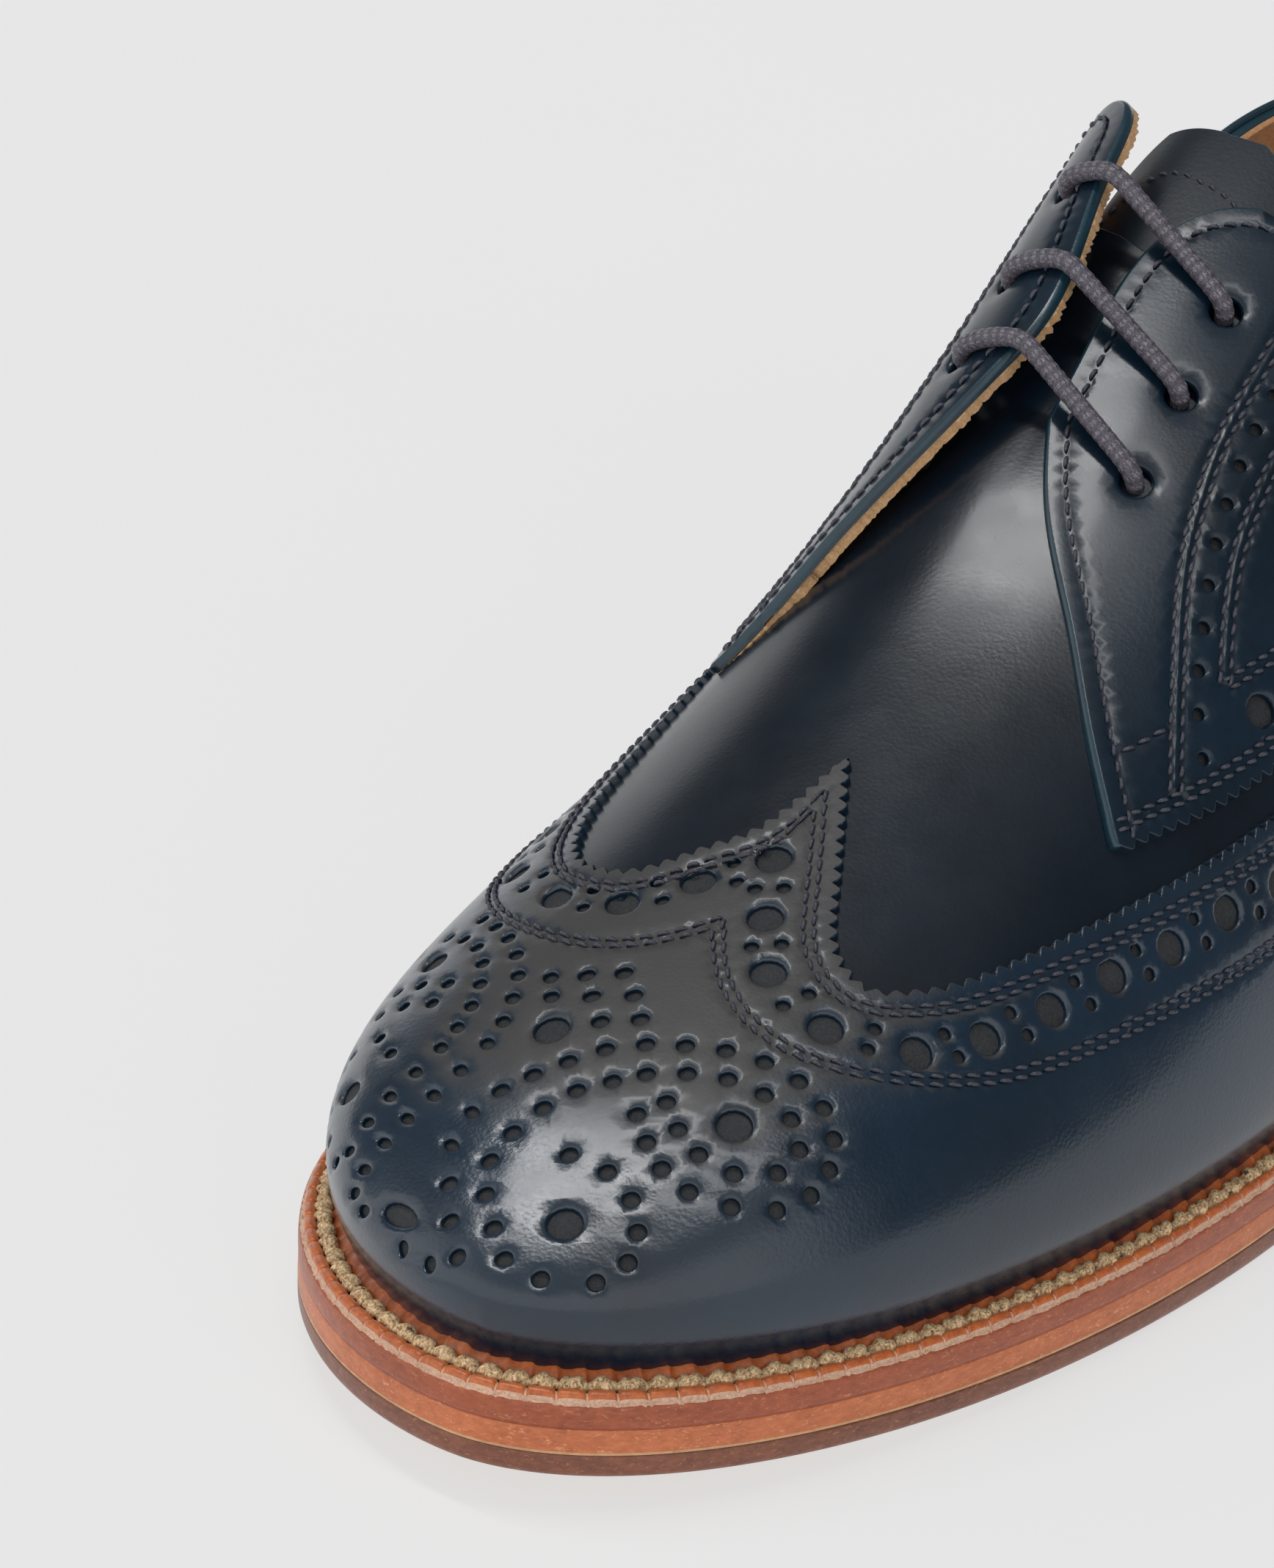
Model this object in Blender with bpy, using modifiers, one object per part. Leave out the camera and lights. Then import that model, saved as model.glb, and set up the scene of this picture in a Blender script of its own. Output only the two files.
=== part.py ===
"""Full brogue derby, left shoe: a welted leather shoe with a winged toe cap and three eyelets a side.

The toe points to -X, the outer (lateral) side of the foot is -Y, the floor is Z = 0.
Places on the shoe are given by "back", the distance behind the toe tip of the sole, and places on the
upper also by "girth": 0 on the ridge, 1 at the widest line, 2 at the welt, negative on the outer side.
"""
import math

import bmesh
import bpy
import numpy as np
from mathutils import Vector

MM = 0.001

# Sole outline and profile, in millimetres
LENGTH = 308.0
HEEL_BACK = 262.0
HEEL_ROUND_ALONG, HEEL_ROUND_ACROSS = 2.2, 2.1
CENTRE_SHIFT = 2.75
OUTER, INNER = -1, 1
#          ball  ball_back  toe_along  toe_across  waist  waist_back  heel  heel_centre
OUTLINE = {
    OUTER: (59.2, 133.0, 1.75, 1.95, 50.0, 215.0, 45.0, 4.0),
    INNER: (53.7, 80.0, 2.35, 1.72, 34.0, 203.0, 37.0, -4.0),
}
TOE_SPRING, SPRING_BACK = 5.7, 118.0
RISE_FROM, RISE_TO, SEAT_HEIGHT = 134.0, 247.0, 21.0
LAYER, LAYER_GAP = 3.27, 0.3
EDGE = 3 * LAYER + 2 * LAYER_GAP
EDGE_BREAK = 0.7

# Welt: its margin is the distance from the sole's edge to the vamp
MARGIN_TOE, MARGIN_OUTER, MARGIN_INNER, MARGIN_BACK = 8.0, 6.5, 7.2, 6.6
MARGIN_TURN, MARGIN_EASE_FROM, MARGIN_EASE_TO = 50.0, 130.0, 200.0
SOLE_STATIONS = 31
RIB_HEIGHT, RIB_WIDTH, RIB_SLOPE, RIB_CLEAR = 2.0, 1.5, 0.6, 3.6
WELT_INSIDE = 3.5
INSOLE_GAP, INSOLE_PROUD = 0.3, 1.0

# Heel
BREAST_BACK, HEEL_INSET, HEEL_TAPER = 236.0, 0.8, 1.2
HEEL_STATIONS = 13

# Upper
UPPER_WALL = 2.0
FEATHER_LIFT = 0.8
TUCK, TUCK_HEEL, TUCK_HEEL_FROM, TUCK_HEEL_OVER = 2.3, 1.5, 215.0, 60.0
WIDEST, WIDEST_HEEL, WIDEST_HEEL_FROM, WIDEST_HEEL_OVER = 9.5, 12.0, 190.0, 80.0
TOE_RISE, TOE_RISE_ROUND = 50.6, 2.19
#           back  ridge_height  ridge_side  full_across  full_up
SECTIONS = (
    (0.0, 34.0, 0.0, 2.0, 2.0),
    (10.0, 36.7, 0.0, 2.1, 2.0),
    (35.0, 44.2, -0.4, 2.3, 2.0),
    (60.0, 52.0, -0.7, 2.2, 1.93),
    (90.0, 63.2, -1.2, 2.05, 1.82),
    (120.0, 76.6, -1.5, 2.08, 1.9),
    (150.0, 94.8, -1.2, 2.15, 2.03),
    (180.0, 112.6, -0.8, 2.3, 2.05),
    (210.0, 126.0, -1.6, 2.6, 2.2),
    (262.0, 130.0, -4.0, 3.0, 2.6),
)
THROAT_BACK, COLLAR_FROM = 138.0, 183.0
#          back  girth of the upper's edge beside the tongue
THROAT = ((138.0, 0.0), (142.0, 0.12), (150.0, 0.22), (165.0, 0.26), (183.0, 0.26))
THROAT_STATIONS = (139.2, 141.0, 143.5, 147.0, 152.0, 158.0, 166.0, 174.0)
VAMP_STATIONS, COLLAR_STATIONS, SKIRT_COLUMNS, BODY_COLUMNS = 16, 14, 3, 10
#          back  height of the collar above the floor
COLLAR = ((183.0, 107.5), (195.0, 97.5), (210.0, 87.5), (225.0, 81.0), (240.0, 79.0),
          (262.0, 82.0), (285.0, 87.0), (308.0, 90.0))

# Overlays, measured out from the vamp's face
OVERLAY_GAP = 0.7
CAP_LEATHER, QUARTER_LEATHER = 1.2, 1.6
OVERLAY_END = 1.9
CAP_ROWS, CAP_TOP_COLUMNS, CAP_SIDE_COLUMNS, CAP_SKIRT_COLUMNS = 17, 8, 9, 6
CAP_SIDE_FROM, CAP_SIDE_TO = 0.42, 0.9
#          girth  back of the wing cap's upper edge
WING_EDGE = {
    OUTER: ((0.0, 93.0), (0.06, 83.0), (0.12, 73.5), (0.17, 66.5), (0.235, 62.5), (0.30, 62.0),
            (0.36, 65.5), (0.43, 74.0), (0.51, 94.0), (0.57, 112.0), (0.62, 128.5), (0.70, 151.0),
            (0.80, 173.0), (0.95, 196.0), (1.2, 213.0), (1.6, 231.0), (1.9, 243.0)),
    INNER: ((0.0, 93.0), (0.03, 83.0), (0.09, 75.5), (0.175, 69.5), (0.28, 69.0), (0.37, 74.0),
            (0.43, 83.0), (0.47, 95.0), (0.51, 113.0), (0.56, 131.0), (0.64, 150.0), (0.78, 173.0),
            (0.95, 196.0), (1.2, 213.0), (1.6, 231.0), (1.9, 243.0)),
}
#          back, girth along the quarter's lower edge, then along its facing
QUARTER_LOW = {
    OUTER: ((104.5, 0.455), (124.0, 0.52), (145.0, 0.60), (170.0, 0.70), (200.0, 0.88), (225.0, 1.15),
            (246.0, 1.6), (258.0, 1.9)),
    INNER: ((116.5, 0.455), (134.0, 0.52), (152.0, 0.60), (174.0, 0.71), (202.0, 0.89), (226.0, 1.15),
            (246.0, 1.6), (258.0, 1.9)),
}
FACING = {
    OUTER: ((148.0, 0.01), (158.0, 0.01), (168.0, 0.01), (177.0, 0.03), (182.0, 0.07), (185.5, 0.14)),
    INNER: ((152.0, 0.09), (156.0, 0.066), (160.0, 0.055), (169.0, 0.062), (178.0, 0.085), (186.0, 0.10),
            (191.0, 0.12), (194.5, 0.17), (196.0, 0.24)),
}
FRONT_BOW = 0.16
FLAP_LIFT = {OUTER: 0.0, INNER: 6.0}
FLAP_LIFT_GIRTH, FLAP_LIFT_FROM, FLAP_LIFT_FULL = 0.52, 108.0, 132.0
QUARTER_COLUMNS, QUARTER_ROWS, COLLAR_STEPS = 25, 8, 9
TURN_AGAINST_GIRTH = 6.0
FRONT_BOW_SHARE = 1.0 / 6.0
SEAM_GAP = 0.0022
EYELET_RADIUS = 1.9
#          back, girth of each eyelet
EYELETS = {
    OUTER: ((145.0, 0.165), (158.0, 0.165), (171.0, 0.165)),
    INNER: ((155.0, 0.20), (166.5, 0.187), (180.0, 0.165)),
}

# Tongue and lace
TONGUE_LEATHER, TONGUE_GAP = 1.6, 0.9
TONGUE_FROM, TONGUE_TO, TONGUE_GIRTH, TONGUE_TOP_GIRTH = 126.0, 197.5, 0.31, 0.24
TONGUE_DRIFT = 0.05
TONGUE_NARROW_FROM, TONGUE_NARROW_OVER, TONGUE_ROUND_FROM, TONGUE_ROUND = 165.0, 30.0, 184.0, 2.4
TONGUE_ROWS, TONGUE_COLUMNS, TONGUE_CROWDING, TONGUE_TOP_SHARE = 13, 11, 1.5, 0.45
LACE_RADIUS, LACE_GAP = 1.4, 0.45
LACE_SUPPORTS, LACE_POINTS, LACE_OVER_EDGE = 9, 9, 0.045


def smooth_step(value):
    value = np.clip(value, 0.0, 1.0)
    return value * value * (3.0 - 2.0 * value)


class Curve:
    """A natural cubic through the rows of a table: column 0 against another column."""

    def __init__(self, rows, column=1):
        self.x = np.array([row[0] for row in rows])
        self.y = np.array([row[column] for row in rows])
        count = len(rows)
        step = np.diff(self.x)
        system = np.eye(count)
        right = np.zeros(count)
        for i in range(1, count - 1):
            system[i, i - 1:i + 2] = step[i - 1], 2.0 * (step[i - 1] + step[i]), step[i]
            slope_after = (self.y[i + 1] - self.y[i]) / step[i]
            slope_before = (self.y[i] - self.y[i - 1]) / step[i - 1]
            right[i] = 6.0 * (slope_after - slope_before)
        self.bend = np.linalg.solve(system, right)

    def __call__(self, value):
        value = np.clip(value, self.x[0], self.x[-1])
        i = np.clip(np.searchsorted(self.x, value) - 1, 0, len(self.x) - 2)
        step = self.x[i + 1] - self.x[i]
        a = (self.x[i + 1] - value) / step
        b = 1.0 - a
        bend = (a ** 3 - a) * self.bend[i] + (b ** 3 - b) * self.bend[i + 1]
        return a * self.y[i] + b * self.y[i + 1] + bend * step ** 2 / 6.0


RIDGE_HEIGHT, RIDGE_SIDE, FULL_ACROSS, FULL_UP = (Curve(SECTIONS, column) for column in range(1, 5))
COLLAR_HEIGHT = Curve(COLLAR)
THROAT_GIRTH = Curve(THROAT)


def turn_at(back):
    """The outline runs from turn 0 at the toe tip to turn 1 at the heel end."""
    return np.arccos(1.0 - 2.0 * np.clip(np.asarray(back, float) / LENGTH, 0.0, 1.0)) / math.pi


def back_at(turn):
    return LENGTH * (1.0 - np.cos(math.pi * np.clip(turn, 0.0, 1.0))) / 2.0


def half_width(back, side):
    ball, ball_back, toe_along, toe_across, waist, waist_back, heel, centre = OUTLINE[side]
    ahead = np.clip(1.0 - back / ball_back, 0.0, 1.0)
    width = ball * (1.0 - ahead ** toe_along) ** (1.0 / toe_across)
    width = width + (waist - ball) * smooth_step((back - ball_back) / (waist_back - ball_back))
    width = width + (heel - waist) * smooth_step((back - waist_back) / (HEEL_BACK - waist_back))
    behind = np.clip((back - HEEL_BACK) / (LENGTH - HEEL_BACK), 0.0, 1.0)
    rounded = (1.0 - behind ** HEEL_ROUND_ALONG) ** (1.0 / HEEL_ROUND_ACROSS)
    return np.where(back > HEEL_BACK, centre + (width - centre) * rounded, width)


def sole_height(back):
    spring = TOE_SPRING * np.clip(1.0 - back / SPRING_BACK, 0.0, 1.0) ** 2
    return spring + SEAT_HEIGHT * smooth_step((back - RISE_FROM) / (RISE_TO - RISE_FROM))


def outline(turn, side):
    """Plan points of the sole's edge and their outward directions."""
    def point(at):
        back = back_at(at)
        return np.stack([back, side * half_width(back, side)], -1)
    nudge = 1e-4
    along = point(np.minimum(turn + nudge, 1.0)) - point(np.maximum(turn - nudge, 0.0))
    along /= np.linalg.norm(along, axis=-1, keepdims=True)
    outward = side * np.stack([-along[..., 1], along[..., 0]], -1)
    outward = np.where((turn < 2 * nudge)[..., None], (-1.0, 0.0), outward)
    outward = np.where((turn > 1.0 - 2 * nudge)[..., None], (1.0, 0.0), outward)
    return point(turn), outward


def margin(back, side):
    beside = MARGIN_OUTER if side == OUTER else MARGIN_INNER
    ease = smooth_step((back - MARGIN_EASE_FROM) / (MARGIN_EASE_TO - MARGIN_EASE_FROM))
    return MARGIN_TOE + (beside - MARGIN_TOE) * smooth_step(back / MARGIN_TURN) + (MARGIN_BACK - beside) * ease


def rib_frame(turn, side):
    """What one section of the last needs: widest point, spine point, heights, directions."""
    edge, outward = outline(turn, side)
    back = edge[..., 0]
    tuck = TUCK + TUCK_HEEL * smooth_step((back - TUCK_HEEL_FROM) / TUCK_HEEL_OVER)
    widest = edge - outward * (margin(back, side) - tuck)[..., None]
    feather = sole_height(back) + EDGE + FEATHER_LIFT
    low = feather + WIDEST + WIDEST_HEEL * smooth_step((back - WIDEST_HEEL_FROM) / WIDEST_HEEL_OVER)
    spine_back = np.minimum(widest[..., 0], HEEL_BACK)
    behind_tip = np.clip((widest[..., 0] - (MARGIN_TOE - TUCK)) / TOE_RISE, 0.0, 1.0)
    rise = np.sqrt(np.clip(1.0 - (1.0 - behind_tip) ** TOE_RISE_ROUND, 0.0, 1.0))
    top = low + (RIDGE_HEIGHT(spine_back) - low) * rise
    spine = np.stack([spine_back, RIDGE_SIDE(spine_back)], -1)
    return widest, outward, tuck, spine, feather, low, top


def last_face(turn, girth):
    """Points of the vamp's face, in millimetres, with X measured back from the toe tip."""
    turn, girth = np.broadcast_arrays(np.asarray(turn, float), np.asarray(girth, float))
    points = np.zeros(turn.shape + (3,))
    for side in (OUTER, INNER):
        widest, outward, tuck, spine, feather, low, top = rib_frame(turn, side)
        angle = (1.0 - np.clip(np.abs(girth), 0.0, 1.0)) * math.pi / 2.0
        across = np.cos(angle) ** (2.0 / FULL_ACROSS(spine[..., 0]))
        up = np.sin(angle) ** (2.0 / FULL_UP(spine[..., 0]))
        plan = spine + (widest - spine) * across[..., None]
        height = low + (top - low) * up
        under = np.clip(np.abs(girth) - 1.0, 0.0, None)
        plan = plan - outward * (tuck * under ** 2)[..., None]
        height = height - (low - feather) * under
        mine = girth <= 0.0 if side == OUTER else girth > 0.0
        points[mine] = np.concatenate([plan, height[..., None]], -1)[mine]
    return points


def raised(turn, girth, distance):
    """Points that stand a distance out from the vamp's face, in metres and in the part's frame."""
    turn, girth, distance = np.broadcast_arrays(turn, girth, distance)
    turn_step, girth_step = 1e-3, 2e-3
    inside = np.clip(turn, 0.012, 1.0 - 2 * turn_step)
    along = last_face(inside + turn_step, girth) - last_face(inside - turn_step, girth)
    around = last_face(inside, girth + girth_step) - last_face(inside, girth - girth_step)
    normal = np.cross(along, around)
    normal /= np.linalg.norm(normal, axis=-1, keepdims=True)
    at_tip = (turn <= 0.0) & (np.abs(girth) <= 1.0)
    normal = np.where(at_tip[..., None], (-1.0, 0.0, 0.0), normal)
    points = last_face(turn, girth) + normal * distance[..., None]
    return to_part(points)


def to_part(points):
    return (points + np.array([-LENGTH / 2.0, CENTRE_SHIFT, 0.0])) * MM


def collar_girth(turn, side):
    """Girth at which a section of the last reaches the collar's height."""
    _, _, _, spine, _, low, top = rib_frame(turn, side)
    share = np.clip((COLLAR_HEIGHT(back_at(turn)) - low) / np.maximum(top - low, 1.0), 0.0, 1.0)
    return 1.0 - np.arcsin(share ** (FULL_UP(spine[..., 0]) / 2.0)) / (math.pi / 2.0)


def upper_edge_girth(turn, side):
    """The upper's top edge: closed on the vamp, open beside the tongue, then along the collar."""
    back = back_at(turn)
    beside_tongue = THROAT_GIRTH(back)
    return np.where(back <= COLLAR_FROM, beside_tongue, collar_girth(turn, side))


def material(name, colour, roughness):
    finish = bpy.data.materials.new(name)
    finish.use_nodes = True
    shader = finish.node_tree.nodes["Principled BSDF"]
    shader.inputs["Base Color"].default_value = (*colour, 1.0)
    shader.inputs["Roughness"].default_value = roughness
    shader.inputs["Metallic"].default_value = 0.0
    return finish


def mesh_object(name, vertices, faces, finish, collection):
    """One object from points and faces, with coincident points joined."""
    mesh = bpy.data.meshes.new(name)
    mesh.from_pydata([tuple(v) for v in vertices], [], faces)
    shaped = bmesh.new()
    shaped.from_mesh(mesh)
    bmesh.ops.remove_doubles(shaped, verts=shaped.verts, dist=1e-6)
    bmesh.ops.dissolve_degenerate(shaped, edges=shaped.edges, dist=1e-7)
    shaped.to_mesh(mesh)
    shaped.free()
    mesh.shade_smooth()
    mesh.set_sharp_from_angle(angle=math.radians(35.0))
    mesh.materials.append(finish)
    piece = bpy.data.objects.new(name, mesh)
    collection.objects.link(piece)
    return piece


def grid_faces(rows, columns, start=0):
    faces = []
    for i in range(rows - 1):
        for j in range(columns - 1):
            a = start + i * columns + j
            faces.append((a, a + columns, a + columns + 1, a + 1))
    return faces


def solidify(piece, thickness, outward):
    wall = piece.modifiers.new("wall", "SOLIDIFY")
    wall.thickness = thickness * MM
    wall.offset = 1.0 if outward else -1.0
    wall.use_even_offset = True
    wall.use_quality_normals = True
    return wall


def sole_loop(turns, inset, height):
    """The sole's outline drawn in by an inset, at a height above the sole's underside."""
    sides = []
    for side in (OUTER, INNER):
        edge, outward = outline(turns, side)
        back = edge[:, 0]
        draw_in = inset(back, side) if callable(inset) else np.full_like(back, inset)
        plan = edge - outward * draw_in[:, None]
        rise = sole_height(back) + height
        sides.append(to_part(np.concatenate([plan, rise[:, None]], 1)))
    return sides


def slab(name, turns, profile, finish, collection):
    """A closed layer: loops up its edge, ruled across underneath and on top."""
    count = len(turns)
    vertices, faces = [], []
    for inset, height in profile:
        outer, inner = sole_loop(turns, inset, height)
        vertices.extend(outer)
        vertices.extend(inner)
    for level in range(len(profile) - 1):
        low, high = level * 2 * count, (level + 1) * 2 * count
        for i in range(count - 1):
            faces.append((low + i, low + i + 1, high + i + 1, high + i))
            faces.append((low + count + i + 1, low + count + i, high + count + i, high + count + i + 1))
    last = (len(profile) - 1) * 2 * count
    for i in range(count - 1):
        faces.append((i, count + i, count + i + 1, i + 1))
        faces.append((last + i, last + i + 1, last + count + i + 1, last + count + i))
    return mesh_object(name, vertices, faces, finish, collection)


def ring(name, turns, profile, finish, collection):
    """A closed band round the sole with one cross-section all the way."""
    count = len(turns)
    loop_length = 2 * count
    vertices, faces = [], []
    for inset, height in profile:
        outer, inner = sole_loop(turns, inset, height)
        vertices.extend(outer)
        vertices.extend(inner[::-1])
    for level in range(len(profile)):
        low = level * loop_length
        high = (level + 1) % len(profile) * loop_length
        for i in range(loop_length):
            after = (i + 1) % loop_length
            faces.append((low + i, low + after, high + after, high + i))
    return mesh_object(name, vertices, faces, finish, collection)


def sole_turns(count):
    """Stations along the sole, with the flat tread's two ends among them."""
    even = np.linspace(0.0, 1.0, count)
    for back in (SPRING_BACK, RISE_FROM):
        even[np.argmin(np.abs(even - turn_at(back)))] = turn_at(back)
    return even


def make_sole(collection):
    leather = material("sole_leather", (0.29, 0.12, 0.055), 0.6)
    middle = material("midsole_leather", (0.37, 0.16, 0.075), 0.6)
    strip = material("welt_leather", (0.42, 0.15, 0.04), 0.5)
    stack = material("heel_leather", (0.22, 0.09, 0.045), 0.55)
    board = material("insole_leather", (0.50, 0.33, 0.18), 0.7)
    turns = sole_turns(SOLE_STATIONS)
    slab("outsole", turns, ((EDGE_BREAK, 0.0), (0.0, EDGE_BREAK), (0.0, LAYER)), leather, collection)
    low = LAYER + LAYER_GAP
    slab("midsole", turns, ((0.0, low), (0.0, low + LAYER)), middle, collection)
    low = low + LAYER + LAYER_GAP

    def rib(extra):
        return lambda back, side: margin(back, side) - RIB_CLEAR - extra

    def inside(extra):
        return lambda back, side: margin(back, side) + WELT_INSIDE + extra
    ring("welt", turns, (
        (0.0, low), (0.0, EDGE - EDGE_BREAK), (EDGE_BREAK, EDGE), (rib(RIB_WIDTH + RIB_SLOPE), EDGE),
        (rib(RIB_WIDTH), EDGE + RIB_HEIGHT), (rib(0.0), EDGE + RIB_HEIGHT), (rib(0.0), EDGE),
        (inside(0.0), EDGE), (inside(0.0), low)), strip, collection)
    board_inset = inside(INSOLE_GAP)
    slab("insole", turns, ((board_inset, low), (board_inset, EDGE + INSOLE_PROUD)), board, collection)
    make_heel(stack, collection)


def make_heel(finish, collection):
    """A stacked block under the seat: its top follows the outsole, its foot is flat on the floor."""
    turns = np.linspace(turn_at(BREAST_BACK), 1.0, HEEL_STATIONS)
    foot, head = [], []
    for side in (OUTER, INNER):
        edge, outward = outline(turns, side)
        top = edge - outward * HEEL_INSET
        top[0, 0] = edge[0, 0]
        bottom = top - outward * HEEL_TAPER
        bottom[0, 0] = edge[0, 0] + HEEL_TAPER
        rise = sole_height(edge[:, 0]) - LAYER_GAP
        foot.append(to_part(np.concatenate([bottom, np.zeros((len(turns), 1))], 1)))
        head.append(to_part(np.concatenate([top, rise[:, None]], 1)))
    count = len(turns)
    vertices = [point for group in (*foot, *head) for point in group]
    up = 2 * count
    faces = [(0, up, up + count, count)]
    for i in range(count - 1):
        faces.append((i, i + 1, up + i + 1, up + i))
        faces.append((count + i + 1, count + i, up + count + i, up + count + i + 1))
        faces.append((i, count + i, count + i + 1, i + 1))
        faces.append((up + i, up + i + 1, up + count + i + 1, up + count + i))
    mesh_object("heel", vertices, faces, finish, collection)


def make_upper(finish, collection):
    """The hollow vamp, sides and back: an open surface from the welt to its top edge, given a wall."""
    turns = np.concatenate([np.linspace(0.0, turn_at(THROAT_BACK), VAMP_STATIONS), turn_at(THROAT_STATIONS),
                            np.linspace(turn_at(COLLAR_FROM), 1.0, COLLAR_STATIONS)])
    below = np.concatenate([np.linspace(2.0, 1.0, SKIRT_COLUMNS + 1)[:-1], np.linspace(1.0, 0.0, BODY_COLUMNS)])
    vertices, faces = [], []
    for side in (OUTER, INNER):
        edge_girth = upper_edge_girth(turns, side)
        girth = np.where(below > 1.0, below, edge_girth[:, None] + (1.0 - edge_girth[:, None]) * below)
        start = len(vertices)
        vertices.extend(raised(turns[:, None], side * girth, 0.0).reshape(-1, 3))
        sheet = grid_faces(len(turns), len(below), start)
        faces.extend(sheet if side == OUTER else [face[::-1] for face in sheet])
    piece = mesh_object("upper", vertices, faces, finish, collection)
    solidify(piece, UPPER_WALL, outward=False)


def make_wing_cap(finish, collection):
    """The toe cap: from the toe tip back to the winged edge, on every line round the last."""
    girths = np.concatenate([np.linspace(0.0, CAP_SIDE_FROM, CAP_TOP_COLUMNS)[:-1],
                             np.linspace(CAP_SIDE_FROM, CAP_SIDE_TO, CAP_SIDE_COLUMNS),
                             np.linspace(CAP_SIDE_TO, OVERLAY_END, CAP_SKIRT_COLUMNS)[1:]])
    girths = np.concatenate([-girths[:0:-1], girths])
    edges = np.array([Curve(WING_EDGE[OUTER if g < 0 else INNER])(abs(g)) for g in girths])
    share = np.linspace(0.0, 1.0, CAP_ROWS)
    turns = turn_at(edges)[None, :] * share[:, None]
    points = raised(turns, girths[None, :], OVERLAY_GAP).reshape(-1, 3)
    piece = mesh_object("wing_cap", points, grid_faces(len(share), len(girths)), finish, collection)
    solidify(piece, CAP_LEATHER, outward=True)


def flap_lift(back, girth, side):
    """How far a facing stands off the vamp beyond its seam."""
    near = smooth_step((FLAP_LIFT_GIRTH - girth) / FLAP_LIFT_GIRTH)
    ahead = smooth_step((back - FLAP_LIFT_FROM) / (FLAP_LIFT_FULL - FLAP_LIFT_FROM))
    return FLAP_LIFT[side] * near * ahead


def quarter_grid(side):
    """Turn and girth over one quarter: each column runs from the lower edge up to the facing or collar."""
    share = np.linspace(0.0, 1.0, QUARTER_COLUMNS)
    low = QUARTER_LOW[side] + ((LENGTH, QUARTER_LOW[side][-1][1]),)
    low_turn = turn_at([row[0] for row in low])
    low_turn[-1] = 1.0 - SEAM_GAP
    high = list(FACING[side])
    collar = np.linspace(turn_at(high[-1][0]), 1.0 - SEAM_GAP, COLLAR_STEPS)[1:]
    high_turn = np.concatenate([turn_at([row[0] for row in high]), collar])
    high_girth = np.concatenate([[row[1] for row in high], collar_girth(collar, side)])

    def along(turn, girth):
        """Even steps along a smooth boundary."""
        steps = np.hypot(np.diff(turn) * TURN_AGAINST_GIRTH, np.diff(girth))
        length = np.concatenate([[0.0], np.cumsum(steps)])
        at = share * length[-1]
        return Curve(list(zip(length, turn)))(at), Curve(list(zip(length, girth)))(at)
    low_turn, low_girth = along(low_turn, np.array([row[1] for row in low]))
    low_girth = np.minimum(low_girth, OVERLAY_END)
    high_turn, high_girth = along(high_turn, high_girth)
    climb = np.linspace(0.0, 1.0, QUARTER_ROWS)[None, :]
    turn = low_turn[:, None] * (1.0 - climb) + high_turn[:, None] * climb
    girth = low_girth[:, None] * (1.0 - climb) + high_girth[:, None] * climb
    bow = np.clip(1.0 - share / FRONT_BOW_SHARE, 0.0, 1.0)[:, None]
    girth = girth - FRONT_BOW * bow * climb * (1.0 - climb)
    return turn, girth


def make_quarter(name, side, finish, collection, cutters):
    turn, girth = quarter_grid(side)
    distance = OVERLAY_GAP + flap_lift(back_at(turn), girth, side)
    points = raised(turn, side * girth, distance).reshape(-1, 3)
    faces = grid_faces(*turn.shape)
    if side == INNER:
        faces = [face[::-1] for face in faces]
    piece = mesh_object(name, points, faces, finish, collection)
    solidify(piece, QUARTER_LEATHER, outward=True)
    for number, (back, across) in enumerate(EYELETS[side], 1):
        punch = eyelet_punch(f"{name}_eyelet_{number}", back, across, side, cutters)
        cut = piece.modifiers.new(f"eyelet_{number}", "BOOLEAN")
        cut.operation = "DIFFERENCE"
        cut.object = punch


def facing_point(back, girth, side, above):
    """A point above the facing's face, in metres."""
    lift = OVERLAY_GAP + flap_lift(back, girth, side) + QUARTER_LEATHER + above
    return Vector(raised(turn_at(back), side * girth, np.float64(lift)))


def eyelet_punch(name, back, girth, side, cutters):
    under = facing_point(back, girth, side, -3.0 * QUARTER_LEATHER)
    over = facing_point(back, girth, side, 2.0 * QUARTER_LEATHER)
    bpy.ops.mesh.primitive_cylinder_add(vertices=10, radius=EYELET_RADIUS * MM, depth=(over - under).length)
    punch = bpy.context.object
    punch.name = name
    punch.location = (over + under) / 2.0
    punch.rotation_euler = (over - under).to_track_quat("Z", "Y").to_euler()
    punch.hide_render = True
    punch.display_type = "WIRE"
    for group in punch.users_collection:
        group.objects.unlink(punch)
    cutters.objects.link(punch)
    return punch


def make_tongue(finish, collection):
    """A strip under the facings, rounded off at the top, where its rows lie closer together."""
    rows = 1.0 - (1.0 - np.linspace(0.0, 1.0, TONGUE_ROWS)) ** TONGUE_CROWDING
    backs = TONGUE_FROM + (TONGUE_TO - TONGUE_FROM) * rows
    share = np.linspace(-1.0, 1.0, TONGUE_COLUMNS)
    narrowing = smooth_step((backs - TONGUE_NARROW_FROM) / TONGUE_NARROW_OVER)
    half = TONGUE_GIRTH + (TONGUE_TOP_GIRTH - TONGUE_GIRTH) * narrowing
    near_top = np.clip((backs - TONGUE_ROUND_FROM) / (TONGUE_TO - TONGUE_ROUND_FROM), 0.0, 1.0)
    rounded = 1.0 - (1.0 - TONGUE_TOP_SHARE) * near_top ** TONGUE_ROUND
    girth = (half * rounded)[:, None] * share[None, :] + (TONGUE_DRIFT * narrowing)[:, None]
    below = -(UPPER_WALL + TONGUE_GAP + TONGUE_LEATHER)
    points = raised(turn_at(backs)[:, None], girth, below).reshape(-1, 3)
    piece = mesh_object("tongue", points, grid_faces(len(backs), len(share)), finish, collection)
    solidify(piece, TONGUE_LEATHER, outward=True)


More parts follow.
